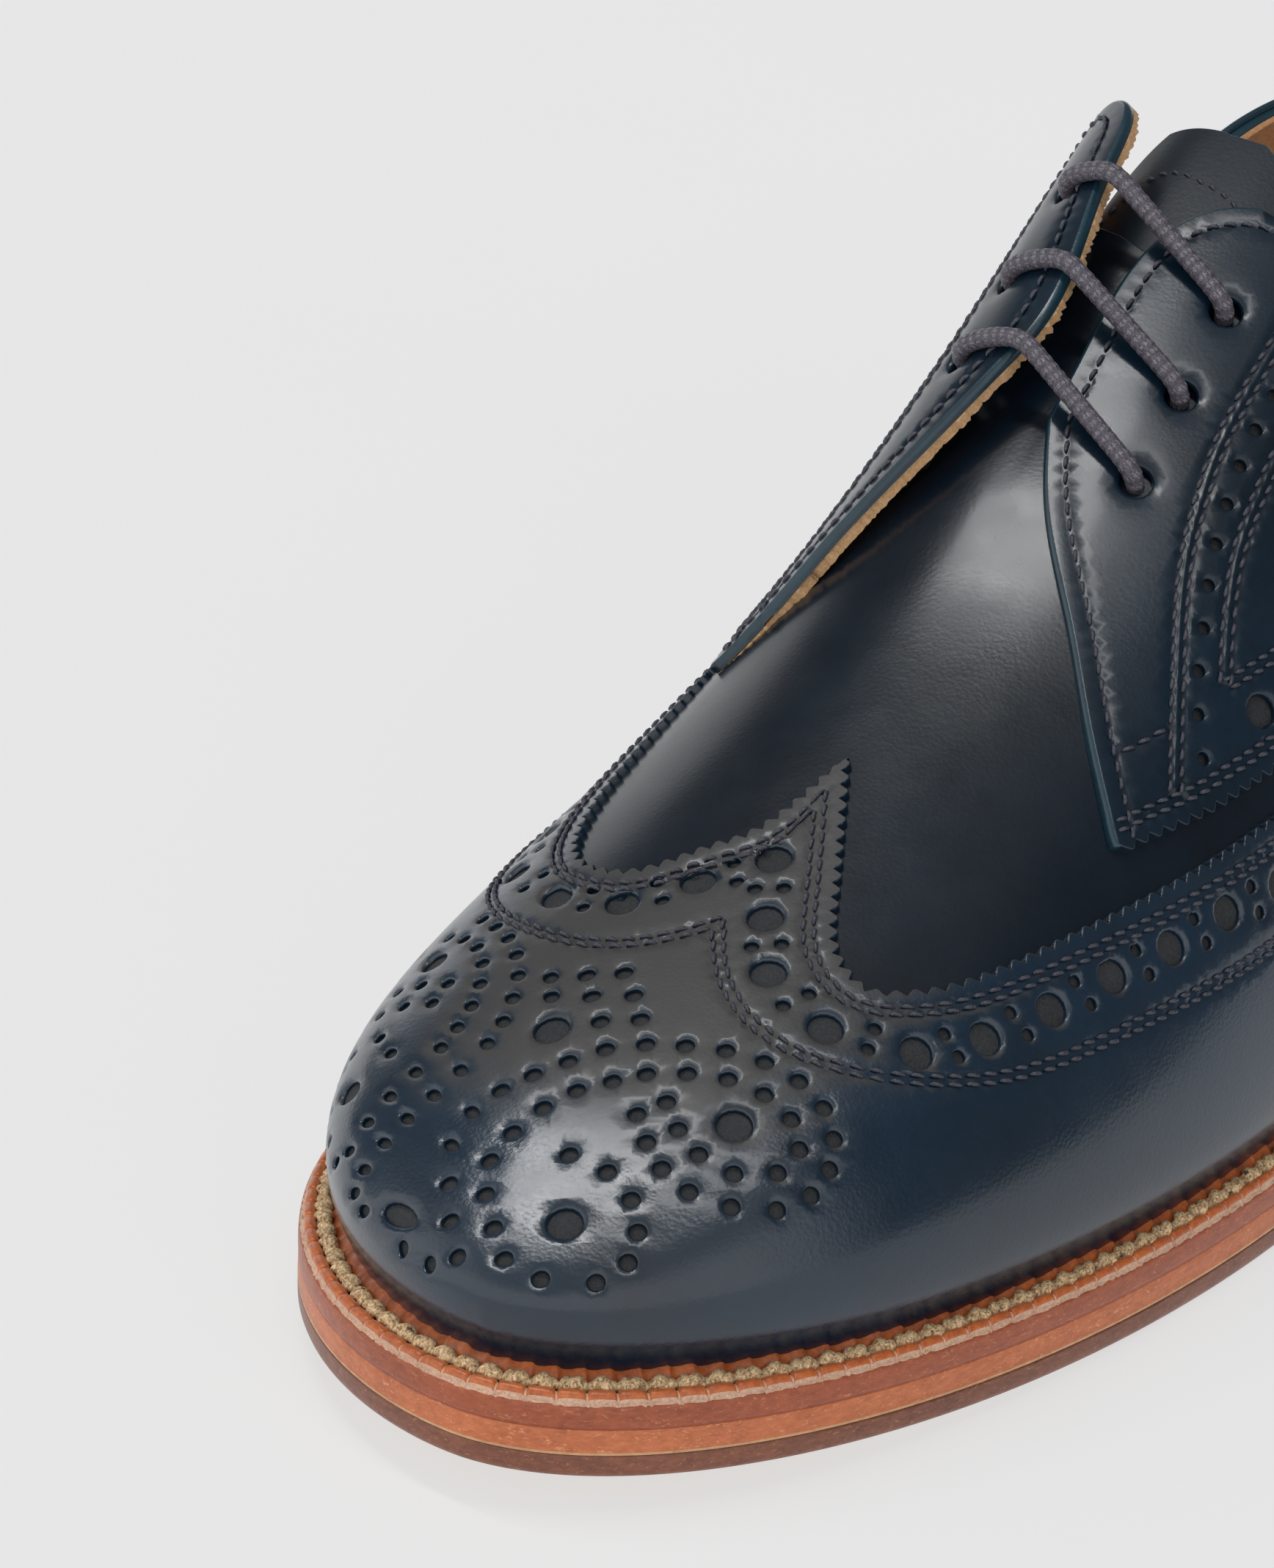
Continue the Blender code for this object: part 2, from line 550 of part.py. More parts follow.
def taut(supports):
    """The shortest way over a row of supports, as evenly spaced points: their upper hull from end to end."""
    first, last = supports[0], supports[-1]
    along = (last - first).normalized()
    rise = Vector((0.0, 0.0, 1.0))
    rise = (rise - along * rise.dot(along)).normalized()
    places = [((point - first).dot(along), (point - first).dot(rise)) for point in supports]
    kept = []
    for place in places:
        while len(kept) > 1:
            (x0, y0), (x1, y1) = kept[-2:]
            if (x1 - x0) * (place[1] - y0) < (y1 - y0) * (place[0] - x0):
                break
            kept.pop()
        kept.append(place)
    reach = np.linspace(0.0, places[-1][0], LACE_POINTS)
    height = np.interp(reach, [place[0] for place in kept], [place[1] for place in kept])
    return [first + along * x + rise * y for x, y in zip(reach, height)]


def make_lace(finish, collection):
    """Three bars, each drawn tight over both facings from eyelet to eyelet."""
    above = LACE_GAP + LACE_RADIUS
    share = np.linspace(0.0, 1.0, LACE_SUPPORTS)
    for number, (outer, inner) in enumerate(zip(EYELETS[OUTER], EYELETS[INNER]), 1):
        outer_girth = outer[1] * (1.0 - share)
        inner_girth = LACE_OVER_EDGE + (inner[1] - LACE_OVER_EDGE) * share
        supports = [facing_point(outer[0], girth, OUTER, above) for girth in outer_girth]
        supports += [facing_point(inner[0], girth, INNER, above) for girth in inner_girth]
        path = bpy.data.curves.new(f"lace_bar_{number}", "CURVE")
        path.dimensions = "3D"
        path.bevel_depth = LACE_RADIUS * MM
        path.bevel_resolution = 2
        path.use_fill_caps = True
        line = path.splines.new("POLY")
        line.points.add(LACE_POINTS - 1)
        for point, place in zip(line.points, taut(supports)):
            point.co = (*place, 1.0)
        path.materials.append(finish)
        bar = bpy.data.objects.new(f"lace_bar_{number}", path)
        collection.objects.link(bar)


def main():
    for old in list(bpy.data.objects):
        bpy.data.objects.remove(old, do_unlink=True)
    shoe = bpy.data.collections.new("full_brogue_derby")
    cutters = bpy.data.collections.new("cutters")
    for group in (shoe, cutters):
        bpy.context.scene.collection.children.link(group)
    navy = material("navy_leather", (0.012, 0.022, 0.036), 0.3)
    make_sole(shoe)
    make_upper(navy, shoe)
    make_wing_cap(material("cap_leather", (0.013, 0.024, 0.040), 0.28), shoe)
    quarter = material("quarter_leather", (0.013, 0.025, 0.042), 0.3)
    make_quarter("quarter_outer", OUTER, quarter, shoe, cutters)
    make_quarter("quarter_inner", INNER, quarter, shoe, cutters)
    make_tongue(material("tongue_leather", (0.011, 0.019, 0.031), 0.38), shoe)
    make_lace(material("waxed_cord", (0.055, 0.052, 0.062), 0.6), shoe)


main()
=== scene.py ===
"""Full brogue derby, left shoe: the dressed model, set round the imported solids.

The frame is the part's: toe to -X, outer (lateral) side to -Y, floor at Z = 0, metres. Places on the upper
are given by "back", the distance in millimetres behind the toe tip of the sole, and by "girth": 0 on the
ridge, 1 at the widest line, 2 at the welt, negative on the outer side. Leather panels are drawn flat, in a
chart of the last that keeps their lengths, with their gimped edges and punched holes, and then laid on it.
"""
import math

import bpy
import numpy as np
from mathutils import Matrix, Vector
from mathutils.geometry import delaunay_2d_cdt


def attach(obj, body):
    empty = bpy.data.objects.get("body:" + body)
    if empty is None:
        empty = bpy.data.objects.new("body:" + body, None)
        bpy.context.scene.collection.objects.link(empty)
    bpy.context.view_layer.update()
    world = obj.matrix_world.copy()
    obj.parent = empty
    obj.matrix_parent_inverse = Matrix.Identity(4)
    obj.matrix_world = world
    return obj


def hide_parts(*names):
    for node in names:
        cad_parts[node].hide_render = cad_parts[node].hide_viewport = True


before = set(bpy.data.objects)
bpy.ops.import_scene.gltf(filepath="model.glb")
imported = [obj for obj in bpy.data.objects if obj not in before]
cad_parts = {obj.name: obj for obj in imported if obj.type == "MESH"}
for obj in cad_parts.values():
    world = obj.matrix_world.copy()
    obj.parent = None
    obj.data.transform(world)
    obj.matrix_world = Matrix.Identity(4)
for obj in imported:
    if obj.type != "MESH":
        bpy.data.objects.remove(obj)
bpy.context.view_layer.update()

MM = 0.001

# Sole outline and profile, in millimetres
LENGTH = 308.0
HEEL_BACK = 262.0
HEEL_ROUND_ALONG, HEEL_ROUND_ACROSS = 2.2, 2.1
CENTRE_SHIFT = 2.75
OUTER, INNER = -1, 1
WORD = {OUTER: "outer", INNER: "inner"}
# Ball and toe are rounded from a scratch fit to points picked in the photograph
#          ball  ball_back  toe_along  toe_across  waist  waist_back  heel  heel_centre
OUTLINE = {
    OUTER: (59.2, 133.0, 1.75, 1.95, 50.0, 215.0, 45.0, 4.0),
    INNER: (53.7, 80.0, 2.35, 1.72, 34.0, 203.0, 37.0, -4.0),
}
TOE_SPRING, SPRING_BACK = 5.7, 118.0
RISE_FROM, RISE_TO, SEAT_HEIGHT = 134.0, 247.0, 21.0
LAYER, LAYER_GAP = 3.27, 0.3
EDGE = 3 * LAYER + 2 * LAYER_GAP

# Welt: its margin is the distance from the sole's edge to the vamp
MARGIN_TOE, MARGIN_OUTER, MARGIN_INNER, MARGIN_BACK = 8.0, 6.5, 7.2, 6.6
MARGIN_TURN, MARGIN_EASE_FROM, MARGIN_EASE_TO = 50.0, 130.0, 200.0
WELT_INSIDE = 3.5
INSOLE_PROUD = 1.0

# Heel
BREAST_BACK, HEEL_INSET, HEEL_TAPER = 236.0, 0.8, 1.2

# Upper
UPPER_WALL = 2.0
FEATHER_LIFT = 0.8
TUCK, TUCK_HEEL, TUCK_HEEL_FROM, TUCK_HEEL_OVER = 2.3, 1.5, 215.0, 60.0
WIDEST, WIDEST_HEEL, WIDEST_HEEL_FROM, WIDEST_HEEL_OVER = 9.5, 12.0, 190.0, 80.0
TOE_RISE, TOE_RISE_ROUND = 50.6, 2.19
# Ridge and fullness follow the same fit, in part moved from it
#           back  ridge_height  ridge_side  full_across  full_up
SECTIONS = (
    (0.0, 34.0, 0.0, 2.0, 2.0),
    (10.0, 36.7, 0.0, 2.1, 2.0),
    (35.0, 44.2, -0.4, 2.3, 2.0),
    (60.0, 52.0, -0.7, 2.2, 1.93),
    (90.0, 63.2, -1.2, 2.05, 1.82),
    (120.0, 76.6, -1.5, 2.08, 1.9),
    (150.0, 94.8, -1.2, 2.15, 2.03),
    (180.0, 112.6, -0.8, 2.3, 2.05),
    (210.0, 126.0, -1.6, 2.6, 2.2),
    (262.0, 130.0, -4.0, 3.0, 2.6),
)
COLLAR_FROM = 183.0
#          back  height of the collar above the floor
COLLAR = ((183.0, 107.5), (195.0, 97.5), (210.0, 87.5), (225.0, 81.0), (240.0, 79.0),
          (262.0, 82.0), (285.0, 87.0), (308.0, 90.0))

# Overlays, measured out from the vamp's face
OVERLAY_GAP = 0.7
CAP_LEATHER, QUARTER_LEATHER = 1.2, 1.6
OVERLAY_END = 1.9
#          girth  back of the wing cap's upper edge
WING_EDGE = {
    OUTER: ((0.0, 93.0), (0.06, 83.0), (0.12, 73.5), (0.17, 66.5), (0.235, 62.5), (0.30, 62.0),
            (0.36, 65.5), (0.43, 74.0), (0.51, 94.0), (0.57, 112.0), (0.62, 128.5), (0.70, 151.0),
            (0.80, 173.0), (0.95, 196.0), (1.2, 213.0), (1.6, 231.0), (1.9, 243.0)),
    INNER: ((0.0, 93.0), (0.03, 83.0), (0.09, 75.5), (0.175, 69.5), (0.28, 69.0), (0.37, 74.0),
            (0.43, 83.0), (0.47, 95.0), (0.51, 113.0), (0.56, 131.0), (0.64, 150.0), (0.78, 173.0),
            (0.95, 196.0), (1.2, 213.0), (1.6, 231.0), (1.9, 243.0)),
}
#          back, girth along the quarter's lower edge, then along its facing
QUARTER_LOW = {
    OUTER: ((104.5, 0.455), (124.0, 0.52), (145.0, 0.60), (170.0, 0.70), (200.0, 0.88), (225.0, 1.15),
            (246.0, 1.6), (258.0, 1.9)),
    INNER: ((116.5, 0.455), (134.0, 0.52), (152.0, 0.60), (174.0, 0.71), (202.0, 0.89), (226.0, 1.15),
            (246.0, 1.6), (258.0, 1.9)),
}
FACING = {
    OUTER: ((148.0, 0.01), (158.0, 0.01), (168.0, 0.01), (177.0, 0.03), (182.0, 0.07), (185.5, 0.14)),
    INNER: ((152.0, 0.09), (156.0, 0.066), (160.0, 0.055), (169.0, 0.062), (178.0, 0.085), (186.0, 0.10),
            (191.0, 0.12), (194.5, 0.17), (196.0, 0.24)),
}
FLAP_LIFT = {OUTER: 0.0, INNER: 6.0}
FLAP_LIFT_GIRTH, FLAP_LIFT_FROM, FLAP_LIFT_FULL = 0.52, 108.0, 132.0
SEAM_GAP = 0.0022
EYELET_RADIUS = 1.9
#          back, girth of each eyelet
EYELETS = {
    OUTER: ((145.0, 0.165), (158.0, 0.165), (171.0, 0.165)),
    INNER: ((155.0, 0.20), (166.5, 0.187), (180.0, 0.165)),
}

# Tongue and lace
TONGUE_LEATHER, TONGUE_GAP = 1.6, 0.9
TONGUE_FROM, TONGUE_TO, TONGUE_GIRTH, TONGUE_TOP_GIRTH = 126.0, 197.5, 0.31, 0.24
TONGUE_DRIFT = 0.05
TONGUE_NARROW_FROM, TONGUE_NARROW_OVER, TONGUE_ROUND_FROM, TONGUE_ROUND = 165.0, 30.0, 184.0, 2.4
TONGUE_CROWDING, TONGUE_TOP_SHARE = 1.5, 0.45
LACE_RADIUS, LACE_OVER_EDGE = 1.4, 0.045


def smooth_step(value):
    value = np.clip(value, 0.0, 1.0)
    return value * value * (3.0 - 2.0 * value)


class Curve:
    """A natural cubic through the rows of a table: column 0 against another column."""

    def __init__(self, rows, column=1):
        self.x = np.array([row[0] for row in rows])
        self.y = np.array([row[column] for row in rows])
        count = len(rows)
        step = np.diff(self.x)
        system = np.eye(count)
        right = np.zeros(count)
        for i in range(1, count - 1):
            system[i, i - 1:i + 2] = step[i - 1], 2.0 * (step[i - 1] + step[i]), step[i]
            slope_after = (self.y[i + 1] - self.y[i]) / step[i]
            slope_before = (self.y[i] - self.y[i - 1]) / step[i - 1]
            right[i] = 6.0 * (slope_after - slope_before)
        self.bend = np.linalg.solve(system, right)

    def __call__(self, value):
        value = np.clip(value, self.x[0], self.x[-1])
        i = np.clip(np.searchsorted(self.x, value) - 1, 0, len(self.x) - 2)
        step = self.x[i + 1] - self.x[i]
        a = (self.x[i + 1] - value) / step
        b = 1.0 - a
        bend = (a ** 3 - a) * self.bend[i] + (b ** 3 - b) * self.bend[i + 1]
        return a * self.y[i] + b * self.y[i + 1] + bend * step ** 2 / 6.0


RIDGE_HEIGHT, RIDGE_SIDE, FULL_ACROSS, FULL_UP = (Curve(SECTIONS, column) for column in range(1, 5))
COLLAR_HEIGHT = Curve(COLLAR)


def turn_at(back):
    """The outline runs from turn 0 at the toe tip to turn 1 at the heel end."""
    return np.arccos(1.0 - 2.0 * np.clip(np.asarray(back, float) / LENGTH, 0.0, 1.0)) / math.pi


def back_at(turn):
    return LENGTH * (1.0 - np.cos(math.pi * np.clip(turn, 0.0, 1.0))) / 2.0


def half_width(back, side):
    ball, ball_back, toe_along, toe_across, waist, waist_back, heel, centre = OUTLINE[side]
    ahead = np.clip(1.0 - back / ball_back, 0.0, 1.0)
    width = ball * (1.0 - ahead ** toe_along) ** (1.0 / toe_across)
    width = width + (waist - ball) * smooth_step((back - ball_back) / (waist_back - ball_back))
    width = width + (heel - waist) * smooth_step((back - waist_back) / (HEEL_BACK - waist_back))
    behind = np.clip((back - HEEL_BACK) / (LENGTH - HEEL_BACK), 0.0, 1.0)
    rounded = (1.0 - behind ** HEEL_ROUND_ALONG) ** (1.0 / HEEL_ROUND_ACROSS)
    return np.where(back > HEEL_BACK, centre + (width - centre) * rounded, width)


def sole_height(back):
    spring = TOE_SPRING * np.clip(1.0 - back / SPRING_BACK, 0.0, 1.0) ** 2
    return spring + SEAT_HEIGHT * smooth_step((back - RISE_FROM) / (RISE_TO - RISE_FROM))


def outline(turn, side):
    """Plan points of the sole's edge and their outward directions."""
    def point(at):
        back = back_at(at)
        return np.stack([back, side * half_width(back, side)], -1)
    nudge = 1e-4
    along = point(np.minimum(turn + nudge, 1.0)) - point(np.maximum(turn - nudge, 0.0))
    along /= np.linalg.norm(along, axis=-1, keepdims=True)
    outward = side * np.stack([-along[..., 1], along[..., 0]], -1)
    outward = np.where((turn < 2 * nudge)[..., None], (-1.0, 0.0), outward)
    outward = np.where((turn > 1.0 - 2 * nudge)[..., None], (1.0, 0.0), outward)
    return point(turn), outward


def margin(back, side):
    beside = MARGIN_OUTER if side == OUTER else MARGIN_INNER
    ease = smooth_step((back - MARGIN_EASE_FROM) / (MARGIN_EASE_TO - MARGIN_EASE_FROM))
    toe = (beside - MARGIN_TOE) * smooth_step(back / MARGIN_TURN)
    return MARGIN_TOE + toe + (MARGIN_BACK - beside) * ease


def rib_frame(turn, side):
    """What one section of the last needs: widest point, spine point, heights, directions."""
    edge, outward = outline(turn, side)
    back = edge[..., 0]
    tuck = TUCK + TUCK_HEEL * smooth_step((back - TUCK_HEEL_FROM) / TUCK_HEEL_OVER)
    widest = edge - outward * (margin(back, side) - tuck)[..., None]
    feather = sole_height(back) + EDGE + FEATHER_LIFT
    low = feather + WIDEST + WIDEST_HEEL * smooth_step((back - WIDEST_HEEL_FROM) / WIDEST_HEEL_OVER)
    spine_back = np.minimum(widest[..., 0], HEEL_BACK)
    behind_tip = np.clip((widest[..., 0] - (MARGIN_TOE - TUCK)) / TOE_RISE, 0.0, 1.0)
    rise = np.sqrt(np.clip(1.0 - (1.0 - behind_tip) ** TOE_RISE_ROUND, 0.0, 1.0))
    top = low + (RIDGE_HEIGHT(spine_back) - low) * rise
    spine = np.stack([spine_back, RIDGE_SIDE(spine_back)], -1)
    return widest, outward, tuck, spine, feather, low, top


def last_face(turn, girth):
    """Points of the vamp's face, in millimetres, with X measured back from the toe tip."""
    turn, girth = np.broadcast_arrays(np.asarray(turn, float), np.asarray(girth, float))
    points = np.zeros(turn.shape + (3,))
    for side in (OUTER, INNER):
        widest, outward, tuck, spine, feather, low, top = rib_frame(turn, side)
        angle = (1.0 - np.clip(np.abs(girth), 0.0, 1.0)) * math.pi / 2.0
        across = np.cos(angle) ** (2.0 / FULL_ACROSS(spine[..., 0]))
        up = np.sin(angle) ** (2.0 / FULL_UP(spine[..., 0]))
        plan = spine + (widest - spine) * across[..., None]
        height = low + (top - low) * up
        under = np.clip(np.abs(girth) - 1.0, 0.0, None)
        plan = plan - outward * (tuck * under ** 2)[..., None]
        height = height - (low - feather) * under
        mine = girth <= 0.0 if side == OUTER else girth > 0.0
        points[mine] = np.concatenate([plan, height[..., None]], -1)[mine]
    return points


def raised(turn, girth, distance):
    """Points that stand a distance out from the vamp's face, in metres and in the part's frame."""
    turn, girth, distance = np.broadcast_arrays(turn, girth, distance)
    turn_step, girth_step = 1e-3, 2e-3
    inside = np.clip(turn, 0.012, 1.0 - 2 * turn_step)
    along = last_face(inside + turn_step, girth) - last_face(inside - turn_step, girth)
    around = last_face(inside, girth + girth_step) - last_face(inside, girth - girth_step)
    normal = np.cross(along, around)
    normal /= np.linalg.norm(normal, axis=-1, keepdims=True)
    at_tip = (turn <= 0.0) & (np.abs(girth) <= 1.0)
    normal = np.where(at_tip[..., None], (-1.0, 0.0, 0.0), normal)
    points = last_face(turn, girth) + normal * distance[..., None]
    return to_part(points)


def to_part(points):
    return (points + np.array([-LENGTH / 2.0, CENTRE_SHIFT, 0.0])) * MM


def collar_girth(turn, side):
    """Girth at which a section of the last reaches the collar's height."""
    _, _, _, spine, _, low, top = rib_frame(turn, side)
    share = np.clip((COLLAR_HEIGHT(back_at(turn)) - low) / np.maximum(top - low, 1.0), 0.0, 1.0)
    return 1.0 - np.arcsin(share ** (FULL_UP(spine[..., 0]) / 2.0)) / (math.pi / 2.0)


# Camera of the photograph
CAMERA_AT, CAMERA_AIM, CAMERA_ROLL = (-0.9832, -0.4686, 0.5766), (-0.0393, 0.0440, 0.0415), 2.386
CAMERA_LENS, CAMERA_SENSOR = 249.44, 36.0

# Sizes of the leather work, in millimetres
VAMP_FACE, VAMP_LEATHER, LINING_FACE, LINING_LEATHER = 0.9, 1.6, -0.75, 1.2
CAP_FACE = OVERLAY_GAP + CAP_LEATHER
QUARTER_FACE = OVERLAY_GAP + QUARTER_LEATHER
PANEL_STEP = 1.7
GIMP_PITCH, GIMP_DEPTH, GIMP_FINE = 2.45, 1.1, 40
SINK, SINK_FROM, SINK_OVER = 0.6, 1.2, 0.6
#            along the tooth, out from the valley
GIMP_TOOTH = ((0.0, 0.0), (0.22, 0.5), (0.42, 0.96), (0.58, 0.96), (0.78, 0.5))
#      out past the edge and down from the face, as shares of its softness, and tilt of the normal in degrees
RIM = ((0.35, 0.10, 28.0), (0.70, 0.38, 52.0), (0.93, 0.72, 76.0), (1.0, 1.10, 90.0))
EDGE_SOFT, ROLLED_SOFT, LARGE_SOFT, SMALL_SOFT = 0.24, 0.85, 0.62, 0.42
STITCH_PITCH, STITCH_SHARE, STITCH_RADIUS, STITCH_SLANT = 2.4, 0.72, 0.30, 0.16
NEEDLE_DEPTH, SEAM_DEPTH, SEAM_HALF, SEAM_CLEAR = 0.5, 0.14, 0.62, 0.42
HOLE_SIDES, HOLE_DISH, HOLE_HALO, LARGE_FROM = 16, 0.45, 0.6, 1.5
GRID_CLEAR, GRID_HOLE_CLEAR, NEAREST_BLOCK = 0.55, 0.2, 1500


class Chart:
    """A flat pattern of the upper in millimetres: toe tip at the origin, ridge along +u, inner side +v."""

    def __init__(self, lift, rows=420, columns=241):
        self.turns = np.linspace(0.0, 1.0 - SEAM_GAP, rows)
        girths = np.linspace(-1.0, 1.0, columns)
        face = raised(self.turns[:, None], girths[None, :], lift) / MM
        steps = np.linalg.norm(np.diff(face, axis=0), axis=-1).mean(axis=1)
        self.reach = np.concatenate([[0.0], np.cumsum(steps)])
        steps = np.linalg.norm(np.diff(face, axis=1), axis=-1)
        arc = np.concatenate([np.zeros((rows, 1)), np.cumsum(steps, axis=1)], axis=1)
        self.arc = arc - arc[:, columns // 2][:, None]
        self.girths = girths

    def rows_at(self, reach):
        row = np.interp(reach, self.reach, np.arange(len(self.reach)))
        low = np.clip(row.astype(int), 0, len(self.reach) - 2)
        share = (row - low)[:, None]
        return self.arc[low] * (1.0 - share) + self.arc[low + 1] * share

    def flat(self, turn, girth):
        turn, girth = (np.atleast_1d(value).astype(float) for value in (turn, girth))
        turn, girth = np.broadcast_arrays(turn, girth)
        reach = np.interp(turn, self.turns, self.reach)
        arcs = self.rows_at(reach)
        column = (girth + 1.0) / 2.0 * (len(self.girths) - 1)
        low = np.clip(column.astype(int), 0, len(self.girths) - 2)
        share = column - low
        at = np.arange(len(turn))
        arc = arcs[at, low] * (1.0 - share) + arcs[at, low + 1] * share
        angle = arc / np.maximum(reach, 1e-9)
        return np.stack([reach * np.cos(angle), reach * np.sin(angle)], -1)

    def place(self, flat):
        flat = np.atleast_2d(flat)
        reach = np.hypot(flat[:, 0], flat[:, 1])
        arc = np.arctan2(flat[:, 1], flat[:, 0]) * reach
        arcs = self.rows_at(reach)
        low = np.clip((arcs < arc[:, None]).sum(axis=1) - 1, 0, arcs.shape[1] - 2)
        at = np.arange(len(flat))
        before, after = arcs[at, low], arcs[at, low + 1]
        column = low + np.clip((arc - before) / np.maximum(after - before, 1e-9), 0.0, 1.0)
        girth = np.interp(column, np.arange(len(self.girths)), self.girths)
        return np.interp(reach, self.reach, self.turns), girth


CHART = Chart(CAP_FACE)


def unit(vectors):
    return vectors / np.maximum(np.linalg.norm(vectors, axis=-1, keepdims=True), 1e-12)


def on_shoe(turn, girth, lift):
    """Points and normals of a face that stands lift(turn, girth) off the vamp."""
    turn, girth = np.broadcast_arrays(np.asarray(turn, float), np.asarray(girth, float))
    turn_step, girth_step = 1.5e-3, 4e-3

    def point(t, g):
        return raised(t, g, np.asarray(lift(t, g), float))
    inside = np.clip(turn, 0.014, 1.0 - 2.0 * turn_step)
    along = point(inside + turn_step, girth) - point(inside - turn_step, girth)
    around = point(inside, girth + girth_step) - point(inside, girth - girth_step)
    normal = unit(np.cross(along, around))
    normal[turn < 1e-3, 1] = 0.0
    at_tip = (turn < 1e-3) & (np.abs(girth) <= 1.0)
    normal = np.where(at_tip[..., None], (-1.0, 0.0, 0.0), unit(normal))
    return point(turn, girth), normal


# Flat drawing

def travelled(line):
    """Distance along a line at each of its points."""
    return np.concatenate([[0.0], np.cumsum(np.linalg.norm(np.diff(line, axis=0), axis=1))])


def even_steps(points, count):
    """Evenly spaced points along a smooth line through a few guide points."""
    points = np.asarray(points, float)
    chord = travelled(points)
    fine = np.linspace(0.0, chord[-1], 4000)
    line = np.stack([Curve(list(zip(chord, points[:, i])))(fine) for i in (0, 1)], -1)
    return resample(line, count=count)


def resample(line, step=None, count=None, closed=False):
    length = travelled(line)
    if count is None:
        count = max(2, int(round(length[-1] / step)) + (0 if closed else 1))
    at = np.linspace(0.0, length[-1], count, endpoint=not closed)
    return np.stack([np.interp(at, length, line[:, i]) for i in range(line.shape[1])], -1)


def sideways(line):
    """Unit normals to the left of a flat line."""
    along = np.gradient(line, axis=0)
    return unit(np.stack([-along[:, 1], along[:, 0]], -1))


def inset_line(line, distance):
    """A line moved to its left by a distance, without the loops that a sharp turn leaves."""
    moved = line + sideways(line) * distance
    along = np.gradient(line, axis=0)
    keep = (np.gradient(moved, axis=0) * along).sum(axis=1) > 0.0
    return moved[keep]


def gimped(line):
    """A pinked edge: teeth standing out to the right of a line, valleys just inside it."""
    count = int(resample(line, GIMP_PITCH).shape[0] - 1)
    fine = resample(line, count=count * GIMP_FINE + 1)
    normal = -sideways(fine)
    teeth = []
    for tooth in range(count):
        for along, out in GIMP_TOOTH:
            at = int(round((tooth + along) * GIMP_FINE))
            teeth.append(fine[at] + normal[at] * GIMP_DEPTH * (out - 0.5))
    teeth.append(fine[-1])
    return np.array(teeth)


def inside_loop(points, loop):
    """Even-odd test of many points against a closed loop."""
    result = np.zeros(len(points), bool)
    x, y = points[:, 0], points[:, 1]
    for a, b in zip(loop, np.roll(loop, -1, axis=0)):
        crosses = (a[1] > y) != (b[1] > y)
        if crosses.any():
            result ^= crosses & (x < (b[0] - a[0]) * (y - a[1]) / (b[1] - a[1] + 1e-30) + a[0])
    return result


def hole_soft(radius):
    return LARGE_SOFT if radius > LARGE_FROM else SMALL_SOFT


def hole_ring(centre, radius):
    angle = np.arange(HOLE_SIDES) * 2.0 * math.pi / HOLE_SIDES
    return np.asarray(centre) + (radius + hole_soft(radius)) * np.stack([np.cos(angle), np.sin(angle)], -1)


def nearest(points, others):
    """Distance from each point to the nearest of the others."""
    result = np.full(len(points), np.inf)
    for start in range(0, len(points), NEAREST_BLOCK):
        block = slice(start, start + NEAREST_BLOCK)
        gap = points[block, None, :] - others[None, :, :]
        result[block] = np.sqrt((gap ** 2).sum(axis=2).min(axis=1))
    return result


def seam_marks(line, pitch=STITCH_PITCH):
    """Needle holes along a flat line, with the middles of the stitches between them."""
    length = np.linalg.norm(np.diff(line, axis=0), axis=1).sum()
    return resample(line, count=2 * max(1, int(round(length / pitch))) + 1)


def seam_rows(lines):
    """Points that draw seams into a panel, with their depths: the needle holes first, then the flanks."""
    middle, flank = [], []
    for line in lines:
        marks = seam_marks(line)
        across = sideways(marks)
        middle.append((marks, np.where(np.arange(len(marks)) % 2 == 0, -NEEDLE_DEPTH, -SEAM_DEPTH)))
        flank += [(marks + across * SEAM_HALF * way, np.zeros(len(marks))) for way in (-1.0, 1.0)]
    return middle + flank


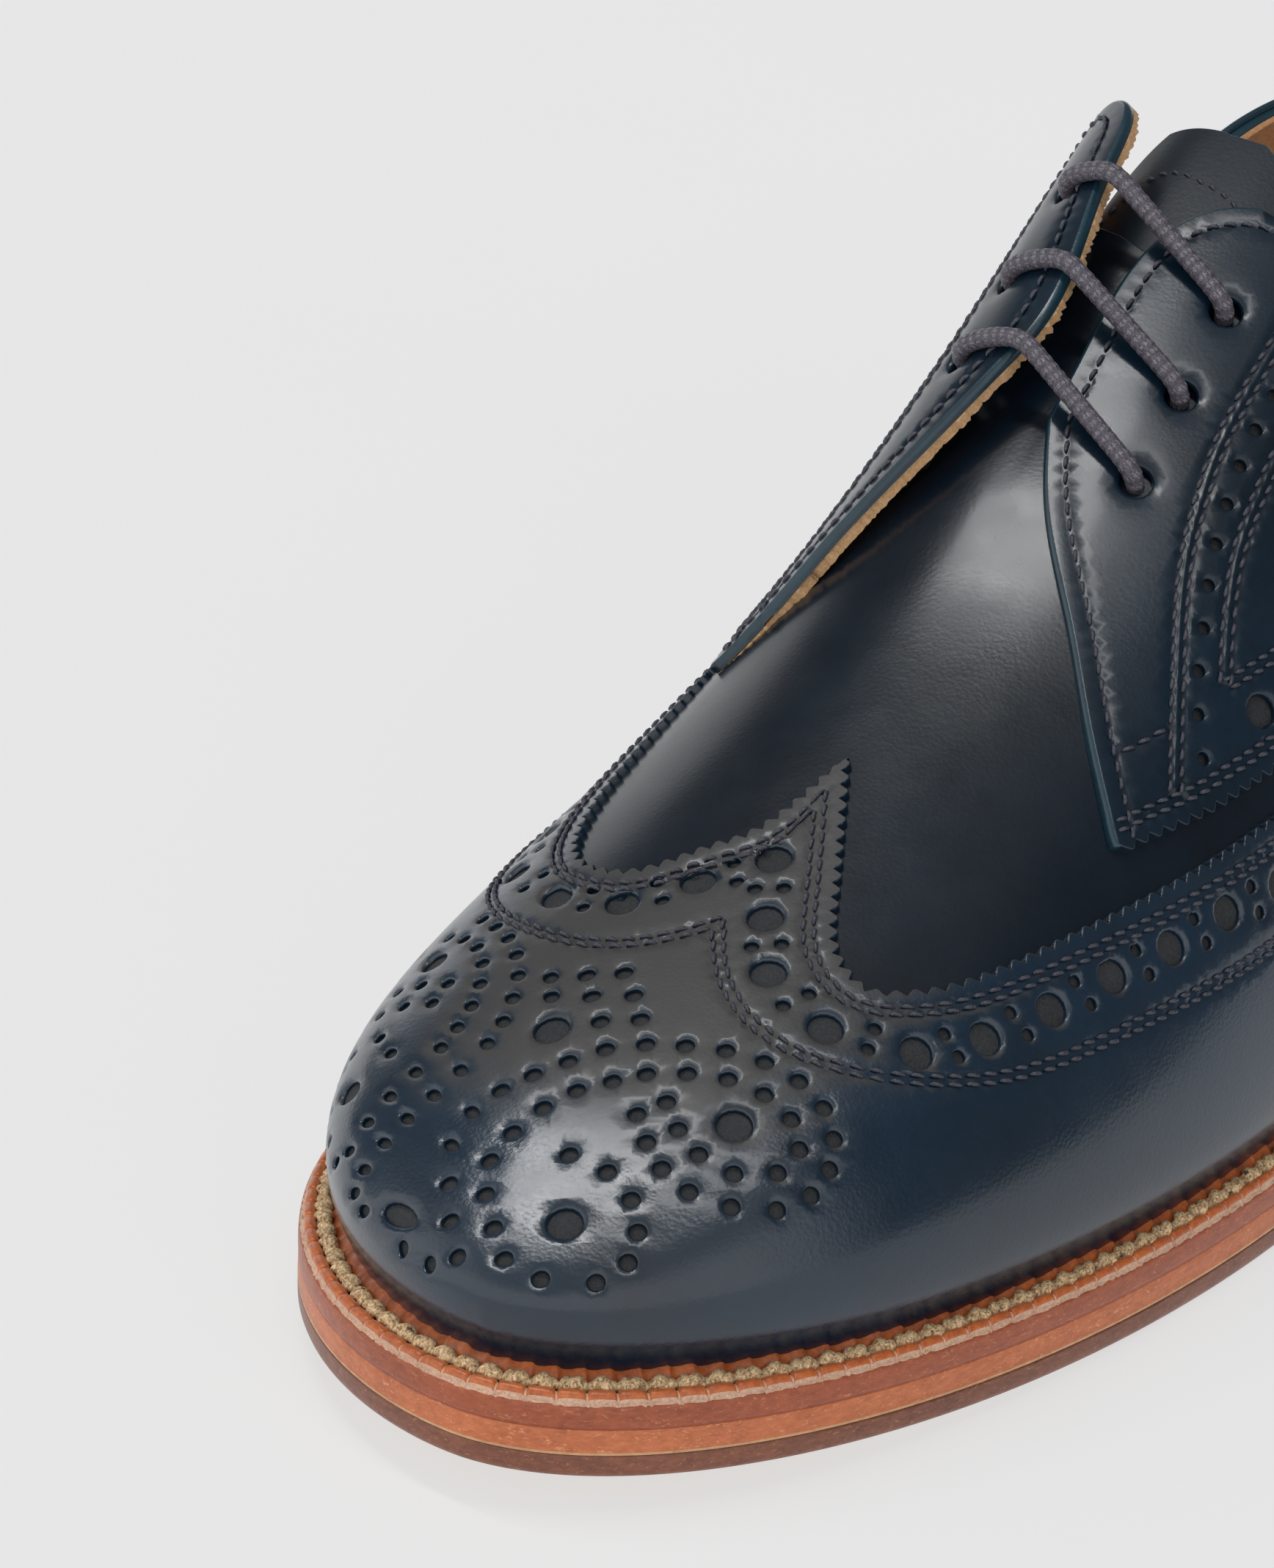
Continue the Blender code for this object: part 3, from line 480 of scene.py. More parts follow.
def triangulate(loop, loop_soft, holes, rows, step=PANEL_STEP):
    """A panel with punched holes, ((centre, radius), ...), and seams.

    Returns flat points, triangles, depth, softness, and each point's ring and its step round that ring.
    """
    rings = [hole_ring(centre, radius) for centre, radius in holes]
    border = np.concatenate([loop] + rings)
    rims = [np.full(HOLE_SIDES, hole_soft(radius)) for _, radius in holes]
    depth = [np.zeros(len(loop))] + [-HOLE_DISH * rim for rim in rims]
    soft = [loop_soft] + rims
    taken, halo_of = border, []
    halos = [(number, hole_ring(centre, radius + HOLE_HALO), np.zeros(HOLE_SIDES))
             for number, (centre, radius) in enumerate(holes, 1)]
    for number, places, depths in [(0, *row) for row in rows] + halos:
        keep = inside_loop(places, loop) & (nearest(places, taken) > SEAM_CLEAR)
        for centre, radius in holes:
            keep &= np.hypot(*(places - np.asarray(centre)).T) > radius + hole_soft(radius)
        taken = np.concatenate([taken, places[keep]])
        depth.append(depths[keep])
        halo_of += [(number, step) if number else (0, 0) for step in np.where(keep)[0]]
    low, high = loop.min(axis=0), loop.max(axis=0)
    along = np.arange(low[0], high[0], step)
    grid = [np.stack([along + (i % 2) * step / 2.0, np.full(len(along), v)], -1)
            for i, v in enumerate(np.arange(low[1], high[1], step * math.sqrt(0.75)))]
    grid = np.concatenate(grid)
    grid = grid[inside_loop(grid, loop)]
    grid = grid[nearest(grid, taken) > GRID_CLEAR * step]
    for centre, radius in holes:
        clear = radius + hole_soft(radius) + GRID_HOLE_CLEAR * step
        grid = grid[np.hypot(*(grid - np.asarray(centre)).T) > clear]
    points = np.concatenate([taken, grid])
    depth = np.concatenate(depth + [np.zeros(len(grid))])
    soft = np.concatenate(soft + [np.full(len(points) - len(border), EDGE_SOFT)])
    edges, start = [], 0
    owner = np.full(len(points), -1)
    for number, ring in enumerate([loop] + rings):
        edges += [(start + i, start + (i + 1) % len(ring)) for i in range(len(ring))]
        owner[start:start + len(ring)] = number
        start += len(ring)
    made, _, faces, origin, _, _ = delaunay_2d_cdt([Vector(p) for p in points], edges, [], 1, 1e-6, True)
    source = np.array([ids[0] if ids else -1 for ids in origin])
    made = np.array([tuple(p) for p in made])
    faces = np.array([tuple(face) for face in faces])
    within = inside_loop(made[faces].mean(axis=1), loop)
    ring_of = np.where(source < 0, -1, owner[source])
    rim = ring_of[faces]
    punched = (rim[:, 0] > 0) & (rim[:, 0] == rim[:, 1]) & (rim[:, 0] == rim[:, 2])
    kept = [tuple(int(i) for i in face) for face in faces[within & ~punched]]
    step_of = (source - len(loop)) % HOLE_SIDES
    for at in np.where((source >= len(border)) & (source < len(taken)))[0]:
        number, step = halo_of[source[at] - len(border)]
        if number:
            ring_of[at], step_of[at] = -1 - number, step
    depth = np.where(source < 0, 0.0, depth[source])
    soft = np.where(source < 0, EDGE_SOFT, soft[source])
    return made, kept, depth, soft, ring_of, step_of


# Meshes

def add_mesh(name, vertices, faces, finishes, nodes=(), normals=None, finish_of=None):
    """A piece of the shoe, riding on its one body."""
    mesh = bpy.data.meshes.new(name)
    mesh.from_pydata(np.asarray(vertices).tolist(), [], [tuple(int(i) for i in face) for face in faces])
    for finish in finishes:
        mesh.materials.append(finish)
    if finish_of is not None:
        mesh.polygons.foreach_set("material_index", np.asarray(finish_of, np.int32))
    mesh.polygons.foreach_set("use_smooth", np.ones(len(mesh.polygons), bool))
    mesh.update()
    if normals is not None:
        mesh.normals_split_custom_set_from_vertices(np.asarray(normals).tolist())
    piece = bpy.data.objects.new(name, mesh)
    bpy.context.scene.collection.objects.link(piece)
    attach(piece, "root")
    if nodes:
        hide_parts(*nodes)
    return piece


def grid_faces(rows, columns, start=0):
    faces = []
    for r in range(rows - 1):
        for c in range(columns - 1):
            a = start + r * columns + c
            faces.append((a, a + 1, a + columns + 1, a + columns))
    return faces


def facing_out(points, normals, faces):
    """The same faces, each turned so that its front is on the normals' side."""
    corners = np.array([face[:3] for face in faces])
    a, b, c = (points[corners[:, i]] for i in range(3))
    right = (np.cross(b - a, c - a) * normals[corners].sum(axis=1)).sum(axis=1) > 0.0
    return [face if good else face[::-1] for face, good in zip(faces, right)]


def mesh_normals(points, faces):
    total = np.zeros_like(points)
    for size in (3, 4):
        group = np.array([face for face in faces if len(face) == size])
        if len(group):
            first, second, third, last = (points[group[:, k]] for k in (0, 1, 2, -1))
            cross = np.cross(third - first, last - second)
            for k in range(size):
                np.add.at(total, group[:, k], cross)
    return unit(total)


def thicken(points, normals, faces, thickness, soft=EDGE_SOFT, rim_kind=None):
    """A closed leather sheet: rounded rims round every open edge and an underside. Metres and millimetres."""
    faces = facing_out(points, normals, faces)
    ahead = set()
    for face in faces:
        ahead.update(zip(face, face[1:] + face[:1]))
    border = [(a, b) for a, b in ahead if (b, a) not in ahead]
    border.sort()
    out = np.zeros_like(points)
    for a, b in border:
        side = np.cross(points[b] - points[a], normals[a] + normals[b])
        side = side / max(np.linalg.norm(side), 1e-12)
        out[a] += side
        out[b] += side
    on_border = np.array(sorted({a for edge in border for a in edge}))
    out = unit(out)
    all_points, all_normals = [points], [normals]
    number = {int(v): i for i, v in enumerate(on_border)}
    base, level_start = len(points), []
    p, n, o = points[on_border], normals[on_border], out[on_border]
    softness = np.broadcast_to(soft, len(points))[on_border][:, None]
    for reach, drop, tilt in RIM + ((1.0, None, 90.0),):
        level_start.append(base)
        down = thickness if drop is None else drop * softness
        all_points.append(p + (o * reach * softness - n * down) * MM)
        all_normals.append(n * math.cos(math.radians(tilt)) + o * math.sin(math.radians(tilt)))
        base += len(on_border)
    under = base
    all_points.append(points - normals * thickness * MM)
    all_normals.append(-normals)
    made, kind = list(faces), [0] * len(faces)
    for a, b in border:
        chain_a = [a] + [start + number[a] for start in level_start] + [under + a]
        chain_b = [b] + [start + number[b] for start in level_start] + [under + b]
        for k in range(len(chain_a) - 1):
            made.append((chain_b[k], chain_a[k], chain_a[k + 1], chain_b[k + 1]))
            kind.append(1 if rim_kind is None else int(rim_kind[a]))
    made += [tuple(under + i for i in face[::-1]) for face in faces]
    kind += [2] * len(faces)
    return np.concatenate(all_points), np.concatenate(all_normals), made, kind


def add_sheet(name, sheet, thickness, finishes, nodes=(), soft=EDGE_SOFT, rim_kind=None):
    """Points, normals and faces as a leather sheet, with finishes for its face, rim and underside."""
    points, normals, faces, kind = thicken(*sheet, thickness, soft, rim_kind)
    add_mesh(name, points, faces, finishes, nodes, normals, kind)


def weld(points, faces, near=2e-6):
    """Joins points that lie on each other: the points kept, the faces left and which those were."""
    keys, kept = {}, []
    index = np.zeros(len(points), int)
    for i, point in enumerate(np.round(points / near).astype(np.int64)):
        key = tuple(point)
        if key not in keys:
            keys[key] = len(kept)
            kept.append(i)
        index[i] = keys[key]
    made, left = [], []
    for number, face in enumerate(faces):
        corners = list(dict.fromkeys(int(index[i]) for i in face))
        if len(corners) > 2:
            made.append(tuple(corners))
            left.append(number)
    return np.array(kept), made, left


def lay(loop, loop_soft, holes, seams, lift, skirt):
    """A flat panel laid on the shoe, with its strip below: points, normals, faces, softness."""
    flat, faces, depth, soft, ring_of, step_of = triangulate(loop, loop_soft, holes, seam_rows(seams))
    turn, girth = CHART.place(flat)
    turn, girth, faces = skirt(turn, girth, faces)
    depth = np.concatenate([depth, np.zeros(len(turn) - len(depth))])
    soft = np.concatenate([soft, np.full(len(turn) - len(soft), EDGE_SOFT)])
    points, normals = on_shoe(turn, girth, lift)
    round_off(points, normals, holes, lift, ring_of, step_of)
    kept, faces, _ = weld(points, faces)
    points, normals, depth, soft = points[kept], normals[kept], depth[kept], soft[kept]
    faces = facing_out(points, normals, faces)
    pressed = points + normals * depth[:, None] * MM
    normals = unit(normals + mesh_normals(pressed, faces) - mesh_normals(points, faces))
    return pressed, normals, faces, soft


TRUE_PATTERN, ASTRAY = 14.0, 0.85


def round_off(points, normals, holes, lift, ring_of, step_of):
    """Draws holes and halos as true circles on the shoe where the flat pattern is out of shape."""
    centres = np.array([centre for centre, _ in holes])
    middle, normal = on_shoe(*CHART.place(centres), lift)
    ahead = on_shoe(*CHART.place(centres + np.array([0.6, 0.0])), lift)[0] - middle
    ahead = unit(ahead - normal * (ahead * normal).sum(axis=1)[:, None])
    beside = np.cross(normal, ahead)
    halo = ring_of < -1
    hole = np.where(halo, -2 - ring_of, ring_of - 1)
    mine = np.where((hole >= 0) & (ring_of != 0) & (centres[np.maximum(hole, 0), 1] < TRUE_PATTERN))[0]
    hole, angle = hole[mine], step_of[mine] * 2.0 * math.pi / HOLE_SIDES
    reach = np.array([radius + hole_soft(radius) for _, radius in holes])[hole] + HOLE_HALO * halo[mine]
    reach = reach[:, None] * MM
    rise = ((points[mine] - middle[hole]) * normal[hole]).sum(axis=1)[:, None]
    points[mine] = (middle[hole] + normal[hole] * rise
                    + reach * (ahead[hole] * np.cos(angle)[:, None] + beside[hole] * np.sin(angle)[:, None]))
    astray = (normals[mine] * normal[hole]).sum(axis=1) < ASTRAY
    normals[mine[astray]] = normal[hole[astray]]


def skirt_strip(turn, girth, faces, side, turn_at_girth, levels):
    """Adds the strip from the widest line down: turn_at_girth(share, girth) gives each column's place."""
    line = np.where((np.abs(girth - side) < 1e-4) | (turn < 1e-6))[0]
    line = line[np.argsort(turn[line])]
    share = (turn[line] - turn[line[0]]) / (turn[line[-1]] - turn[line[0]])
    turns, girths, faces = [turn], [girth], list(faces)
    previous, start = list(line), len(turn)
    for level in levels:
        turns.append(turn_at_girth(share, level))
        girths.append(np.full(len(line), side * level))
        current = list(range(start, start + len(line)))
        for i in range(len(line) - 1):
            quad = (previous[i], previous[i + 1], current[i + 1], current[i])
            faces.append(quad if side > 0 else quad[::-1])
        previous, start = current, start + len(line)
    return np.concatenate(turns), np.concatenate(girths), [tuple(int(i) for i in f) for f in faces]


def tube_faces(rings, around, first=0):
    """Quads between the rings of a tube."""
    faces = []
    for ring in range(first, first + (rings - 1) * around, around):
        for k in range(around):
            a, b = ring + k, ring + (k + 1) % around
            faces.append((a, b, b + around, a + around))
    return faces


def capsules(starts, middles, ends, normals, radius, sides=6):
    """Short threads from hole to hole: they dip into the leather at both ends."""
    #        along  radius  lift
    shape = ((-1.0, 0.45, -0.75), (-0.62, 0.92, 0.1), (0.0, 1.0, 0.42), (0.62, 0.92, 0.1), (1.0, 0.45, -0.75))
    along = unit(ends - starts)
    across = unit(np.cross(normals, along))
    rings = []
    for share, thick, rise in shape:
        weight_a, weight_b = max(-share, 0.0), max(share, 0.0)
        centre = starts * weight_a + ends * weight_b + middles * (1.0 - weight_a - weight_b)
        centre = centre + normals * rise * radius * MM
        for k in range(sides):
            angle = 2.0 * math.pi * k / sides
            spoke = across * math.cos(angle) + normals * math.sin(angle)
            rings.append(centre + spoke * radius * thick * MM)
    vertices = np.stack(rings, 1).reshape(-1, 3)
    faces = []
    each = len(shape) * sides
    for s in range(len(starts)):
        first = s * each
        faces += tube_faces(len(shape), sides, first)
        faces.append(tuple(first + k for k in range(sides))[::-1])
        faces.append(tuple(first + each - sides + k for k in range(sides)))
    return vertices, faces


def sew(name, lines, lift, finish):
    """Rows of stitches along flat lines, from needle hole to needle hole, as one piece."""
    starts, middles, ends = [], [], []
    for line in lines:
        marks = seam_marks(line)
        middle, before, after = marks[1::2], marks[:-1:2], marks[2::2]
        slant = sideways(marks)[1::2] * STITCH_SLANT
        starts.append(middle + (before - middle) * STITCH_SHARE + slant)
        middles.append(middle)
        ends.append(middle + (after - middle) * STITCH_SHARE - slant)
    laid = [on_shoe(*CHART.place(np.concatenate(group)), lift) for group in (starts, middles, ends)]
    vertices, faces = capsules(laid[0][0], laid[1][0], laid[2][0], laid[1][1], STITCH_RADIUS)
    return add_mesh(name, vertices, faces, [finish])


# Materials

# The grey here is painted sheen: it is blended into the base colour of dull, top-facing cap leather in place
# of the overhead lamp's haze.
MATT_ROUGH, PAINTED_SHEEN_GREY = 0.28, (0.028, 0.028, 0.029)


class Paint:
    """A node material under construction, in object coordinates (metres)."""

    def __init__(self, name):
        self.material = bpy.data.materials.new(name)
        self.material.use_nodes = True
        self.tree = self.material.node_tree
        self.tree.nodes.clear()
        self.place = self.add("ShaderNodeTexCoord").outputs["Object"]

    def add(self, kind, inputs=None, **settings):
        node = self.tree.nodes.new(kind)
        for key, value in settings.items():
            setattr(node, key, value)
        for key, value in (inputs or {}).items():
            if isinstance(value, bpy.types.NodeSocket):
                self.tree.links.new(value, node.inputs[key])
            else:
                node.inputs[key].default_value = value
        return node

    def noise(self, size, detail=3.0, rough=0.55, stretch=(1.0, 1.0, 1.0), distortion=0.0):
        """Noise whose features are about size millimetres across."""
        where = self.add("ShaderNodeMapping", {"Vector": self.place, "Scale": stretch}).outputs["Vector"]
        return self.add("ShaderNodeTexNoise", {"Vector": where, "Scale": 1000.0 / size, "Detail": detail,
                                               "Roughness": rough, "Distortion": distortion}).outputs["Fac"]

    def cells(self, size, feature="F1"):
        return self.add("ShaderNodeTexVoronoi", {"Vector": self.place, "Scale": 1000.0 / size},
                        feature=feature).outputs["Distance"]

    def spread(self, value, low, high, to_low=0.0, to_high=1.0):
        return self.add("ShaderNodeMapRange", {"Value": value, "From Min": low, "From Max": high,
                                               "To Min": to_low, "To Max": to_high}).outputs["Result"]

    def blend(self, factor, first, second):
        node = self.add("ShaderNodeMix", data_type="RGBA", clamp_factor=True)
        for socket, value in zip((node.inputs[0], node.inputs[6], node.inputs[7]), (factor, first, second)):
            if isinstance(value, bpy.types.NodeSocket):
                self.tree.links.new(value, socket)
            else:
                socket.default_value = value if np.isscalar(value) else (*value, 1.0)
        return node.outputs[2]

    def sum(self, first, second, share=1.0):
        node = self.add("ShaderNodeMath", {0: second, 1: share, 2: first}, operation="MULTIPLY_ADD")
        return node.outputs[0]

    def bump(self, height, strength, depth):
        """Relief of a depth in millimetres."""
        node = self.add("ShaderNodeBump", {"Height": height, "Strength": strength, "Distance": depth * MM})
        return node.outputs["Normal"]

    def done(self, **inputs):
        shader = self.add("ShaderNodeBsdfPrincipled", {key.replace("_", " "): v for key, v in inputs.items()})
        self.add("ShaderNodeOutputMaterial", {"Surface": shader.outputs["BSDF"]})
        return self.material


def polished_leather(name, dark, light, rough=(0.22, 0.30), grain=0.09, coat=0.2, shine=0.4, matt_and_sheen=None):
    """Box calf: fine pebbled grain, faint creases, uneven polish. The last argument names a share of dull
    leather: rougher, and with its colour blended to a grey painted sheen.
    """
    paint = Paint(name)
    tone = paint.noise(34.0, 4.0, 0.6)
    fleck = paint.noise(1.1, 2.0)
    colour = paint.blend(paint.spread(paint.sum(tone, fleck, 0.25), 0.45, 0.82), dark, light)
    pebble = paint.cells(0.62)
    pores = paint.noise(0.35, 2.0)
    creases = paint.noise(5.5, 5.0, 0.62)
    height = paint.sum(paint.sum(pebble, pores, 0.8), creases, 0.9)
    polish = paint.spread(paint.noise(9.0, 4.0), 0.3, 0.7, *rough)
    # The dull share is rougher, and its colour is blended to a grey painted sheen of the overhead lamp.
    if matt_and_sheen is not None:
        share = paint.add("ShaderNodeAttribute", attribute_name=matt_and_sheen).outputs["Fac"]
        polish = paint.sum(polish, share, MATT_ROUGH)
        colour = paint.blend(share, colour, PAINTED_SHEEN_GREY)
    return paint.done(Base_Color=colour, Roughness=polish, Specular_IOR_Level=shine, Coat_Weight=coat,
                      Coat_Roughness=0.14, Normal=paint.bump(height, grain, 0.10))


def raw_leather(name, dark, light, fibre=0.5, rough=0.75, relief=0.35, sheen=0.1, coat=0.0):
    """Cut or flesh side: matt and fibrous."""
    paint = Paint(name)
    strands = paint.noise(fibre, 4.0, 0.65)
    patches = paint.noise(7.0, 3.0)
    colour = paint.blend(paint.spread(paint.sum(strands, patches, 0.4), 0.45, 0.95), dark, light)
    return paint.done(Base_Color=colour, Roughness=rough, Sheen_Weight=sheen, Coat_Weight=coat,
                      Coat_Roughness=0.22, Normal=paint.bump(strands, relief, 0.18))


def waxed_edge(name, dark, light, speck, rough=0.40):
    """Burnished sole edge: soft patches, and short pale fibres under wax."""
    paint = Paint(name)
    strands = paint.noise(0.9, 5.0, 0.7, (0.5, 0.5, 1.2))
    patches = paint.noise(11.0, 3.0)
    base = paint.blend(paint.spread(paint.sum(strands, patches, 0.35), 0.42, 0.95), dark, light)
    fibres = paint.noise(0.8, 2.0, 0.5, (0.6, 0.6, 1.5), 1.8)
    colour = paint.blend(paint.spread(fibres, 0.60, 0.74, 0.0, 0.75), base, speck)
    return paint.done(Base_Color=colour, Roughness=rough, Coat_Weight=0.12, Coat_Roughness=0.3,
                      Normal=paint.bump(strands, 0.3, 0.14))


def thread(name, dark, light, fibre=0.22, rough=0.6, coat=0.0, speck=None, relief=0.5):
    paint = Paint(name)
    strands = paint.noise(fibre, 3.0, 0.6, (1.0, 1.0, 0.6), 0.6)
    colour = paint.blend(paint.spread(strands, 0.35, 0.68), dark, light)
    if speck is not None:
        colour = paint.blend(paint.spread(paint.noise(1.3, 3.0, 0.6), 0.60, 0.70), colour, speck)
    return paint.done(Base_Color=colour, Roughness=rough, Coat_Weight=coat, Coat_Roughness=0.25,
                      Normal=paint.bump(strands, relief, 0.08))


NAVY = polished_leather("navy_calf", (0.0012, 0.005, 0.010), (0.0025, 0.010, 0.021))
# The cap's dull share carries a painted sheen as well as a rougher polish.
CAP_NAVY = polished_leather("cap_calf", (0.0015, 0.011, 0.024), (0.003, 0.021, 0.046), grain=0.2, coat=0.25,
                            shine=0.65, matt_and_sheen="dull_and_sheen")
QUARTER_NAVY = polished_leather("quarter_calf", (0.0015, 0.008, 0.016), (0.003, 0.016, 0.033), (0.24, 0.32))
TONGUE_NAVY = polished_leather("tongue_calf", (0.003, 0.008, 0.014), (0.006, 0.015, 0.027), (0.36, 0.48),
                               0.16, 0.05)
EDGE_BLUE = polished_leather("edge_dye", (0.004, 0.018, 0.030), (0.008, 0.046, 0.070), (0.24, 0.36),
                             0.25, 0.4)
UNDERLAY = raw_leather("underlay", (0.010, 0.011, 0.014), (0.040, 0.042, 0.048), 0.4, relief=0.9, sheen=0.0)
TAN_LINING = raw_leather("tan_lining", (0.30, 0.13, 0.05), (0.52, 0.27, 0.12))
LINING_EDGE = raw_leather("lining_cut", (0.42, 0.22, 0.09), (0.70, 0.45, 0.24), 0.4, relief=0.8)
SOCK = raw_leather("insole_hide", (0.34, 0.20, 0.10), (0.52, 0.35, 0.20), 0.8, 0.55, 0.12)
DARK_THREAD = thread("navy_thread", (0.012, 0.013, 0.022), (0.070, 0.070, 0.100), coat=0.3)
LINEN_THREAD = thread("linen_thread", (0.24, 0.125, 0.045), (0.98, 0.72, 0.42), 0.34, 0.75,
                      speck=(0.10, 0.06, 0.035), relief=0.2)
WAXED_CORD = thread("waxed_cord", (0.035, 0.031, 0.042), (0.120, 0.110, 0.135), 0.3, 0.55, 0.1)
CORD_FLECK = thread("cord_fleck", (0.085, 0.078, 0.098), (0.235, 0.220, 0.255), 0.3, 0.55, 0.1)
WELT_TAN = raw_leather("welt_hide", (0.32, 0.055, 0.006), (0.66, 0.165, 0.026), 0.9, rough=0.42,
                       relief=0.3, coat=0.4)
WELT_RAW = raw_leather("welt_cut", (0.46, 0.24, 0.14), (0.82, 0.56, 0.41), 0.35, relief=0.7)
TOP_EDGE = waxed_edge("welt_edge", (0.245, 0.050, 0.016), (0.455, 0.110, 0.040), (0.62, 0.24, 0.11))
MID_EDGE = waxed_edge("midsole_edge", (0.41, 0.100, 0.033), (0.69, 0.210, 0.076), (0.82, 0.38, 0.17))
LOW_EDGE = waxed_edge("outsole_edge", (0.125, 0.036, 0.018), (0.29, 0.098, 0.050), (0.45, 0.19, 0.10))
PALE_EDGE = waxed_edge("pale_edge", (0.46, 0.23, 0.10), (0.72, 0.45, 0.24), (0.30, 0.13, 0.06))
HEEL_EDGE = waxed_edge("heel_edge", (0.13, 0.042, 0.022), (0.29, 0.105, 0.058), (0.40, 0.17, 0.095))
SOLE_FLESH = raw_leather("sole_hide", (0.36, 0.19, 0.09), (0.52, 0.32, 0.18), 1.2, 0.5, 0.12)


# Wing cap: its flat outline, holes and seams

def wing_line(side, count=500):
    """The smooth edge of one wing from the peak down to the widest line, flat."""
    girth = np.linspace(0.0, 1.0, count)
    return CHART.flat(turn_at(Curve(WING_EDGE[side])(girth)), side * girth)


# Set by hand over holes that a scratch program worked out from the photograph
#             holes, then guide points of the row in the chart, millimetres
MEDALLION = (
    (7, (64.5, 36.0), (60.5, 27.0), (54.5, 21.5), (46.5, 19.0)),
    (6, (42.0, 19.0), (31.0, 21.0), (23.5, 22.5), (11.5, 23.0)),
    (6, (7.0, 22.5), (1.2, 17.5), (-0.1, 9.5), (6.0, 5.5)),
    (4, (11.6, 9.0), (17.5, 12.0), (23.9, 14.8), (30.6, 15.0)),
    (4, (36.1, 13.2), (40.8, 10.3), (44.9, 7.0), (48.7, 3.5)),
    (15, (51.5, -1.0), (54.0, -12.5), (50.5, -24.0), (41.0, -29.0), (31.5, -26.0), (29.5, -18.4),
     (35.0, -10.0), (40.5, -5.5)),
    (11, (47.0, -3.5), (49.5, -12.5), (46.5, -22.0), (42.0, -25.0), (37.0, -24.0), (35.0, -21.0),
     (36.0, -16.0), (43.5, -8.0)),
    (13, (36.5, 6.5), (25.0, 9.0), (13.5, 2.5), (7.8, -6.0), (9.5, -10.7), (20.5, -13.5),
     (30.5, -6.0), (31.5, -0.5)),
    (2, (44.5, 0.0), (41.0, 3.7)),
    (3, (56.5, 17.0), (61.5, 8.0)),
    (3, (53.5, 15.0), (58.5, 4.7)),
    (2, (52.6, 6.5), (55.1, 1.8)),
    (8, (60.4, 40.5), (57.7, 31.4), (47.4, 25.1), (37.9, 24.9)),
    (4, (32.0, 25.9), (26.0, 27.0), (19.8, 27.5), (13.7, 27.6)),
    (3, (49.5, 31.5), (47.0, 41.5)),
    (3, (45.0, 31.5), (41.5, 41.5)),
    (2, (36.0, 36.5), (33.5, 32.0)),
    (5, (57.0, 46.0), (51.0, 47.5), (46.0, 50.5), (39.0, 47.5), (33.0, 42.0)),
    (5, (30.0, 43.0), (24.0, 45.0), (17.0, 42.0), (12.5, 36.0), (11.5, 30.0)),
)
MEDALLION_LARGE = ((54.0, 38.5), (48.5, 12.0), (42.5, -17.0), (20.0, -5.0), (7.0, 14.5), (24.5, 35.5))
LARGE_HOLE, MEDALLION_HOLE, SMALL_HOLE, HOLE_APART = 2.0, 0.95, 0.72, 0.35
FIT_TRIES, FIT_SHARE, FIT_SWING = 12, 0.5, 1.5
BAND_HOLES, BAND_SEAM, BAND_PITCH, BAND_PAIR = 8.0, (13.4, 14.7), 11.5, 1.85
# Worked out by a scratch program from points picked in the photograph
#             back, girth of the band's first large holes from the peak on
BAND_LARGE = {
    OUTER: ((74.4, 0.0), (65.0, 0.049), (57.0, 0.117), (53.5, 0.283), (59.4, 0.455), (68.8, 0.524),
            (80.1, 0.564), (91.5, 0.592), (102.6, 0.627), (114.1, 0.655)),
    INNER: ((74.4, 0.0), (68.8, 0.083), (62.8, 0.18), (63.8, 0.323), (73.7, 0.512)),
}
EDGE_SEAMS = (2.2, 3.5)


def crossing(first, second):
    """Index of the first point of each line after the place where the two lines cross."""
    for i in range(len(first) - 1):
        p, r = first[i], first[i + 1] - first[i]
        q, t = second[:-1], np.diff(second, axis=0)
        turn = r[0] * t[:, 1] - r[1] * t[:, 0]
        turn = np.where(np.abs(turn) < 1e-12, 1e-12, turn)
        gap = q - p
        along = (gap[:, 0] * t[:, 1] - gap[:, 1] * t[:, 0]) / turn
        across = (gap[:, 0] * r[1] - gap[:, 1] * r[0]) / turn
        hit = np.where((along >= 0.0) & (along <= 1.0) & (across >= 0.0) & (across <= 1.0))[0]
        if len(hit):
            return i + 1, int(hit[0]) + 1
    return 0, 0


def band_lines(distance):
    """Lines that follow the wing's edge at a distance on both sides, from where they meet below the peak."""
    outer, inner = (inset_line(wing_line(side), side * distance) for side in (OUTER, INNER))
    outer_from, inner_from = crossing(outer, inner)
    return {OUTER: outer[outer_from:], INNER: inner[inner_from:]}


def wing_punches(side, line):
    """The band's holes on one wing: the table's, then evenly to the tail, a pair between each two."""
    places = CHART.flat(turn_at([row[0] for row in BAND_LARGE[side]]),
                        side * np.array([row[1] for row in BAND_LARGE[side]]))
    last = int(np.argmin(np.hypot(*(line - places[-1]).T)))
    rest = resample(line[last:], BAND_PITCH)[1:-1]
    places = np.concatenate([places, rest])
    holes = [(centre, LARGE_HOLE) for centre in places]
    for before, after in zip(places, places[1:]):
        along = unit(after - before)
        across = np.array([-along[1], along[0]]) * BAND_PAIR
        holes += [((before + after) / 2.0 + across * way, SMALL_HOLE) for way in (-1.0, 1.0)]
    return holes


def band_punches(line, pitch):
    """Large holes along a line with a pair of small ones across it between each two."""
    fine = resample(line, 0.05)
    normal = sideways(fine)
    holes = []
    for number, at in enumerate(range(0, len(fine) - 30, int(round(pitch * 10)))):
        if number % 2 == 0:
            holes.append((fine[at], LARGE_HOLE))
        else:
            holes += [(fine[at] + normal[at] * BAND_PAIR * way, SMALL_HOLE) for way in (-1.0, 1.0)]
    return holes


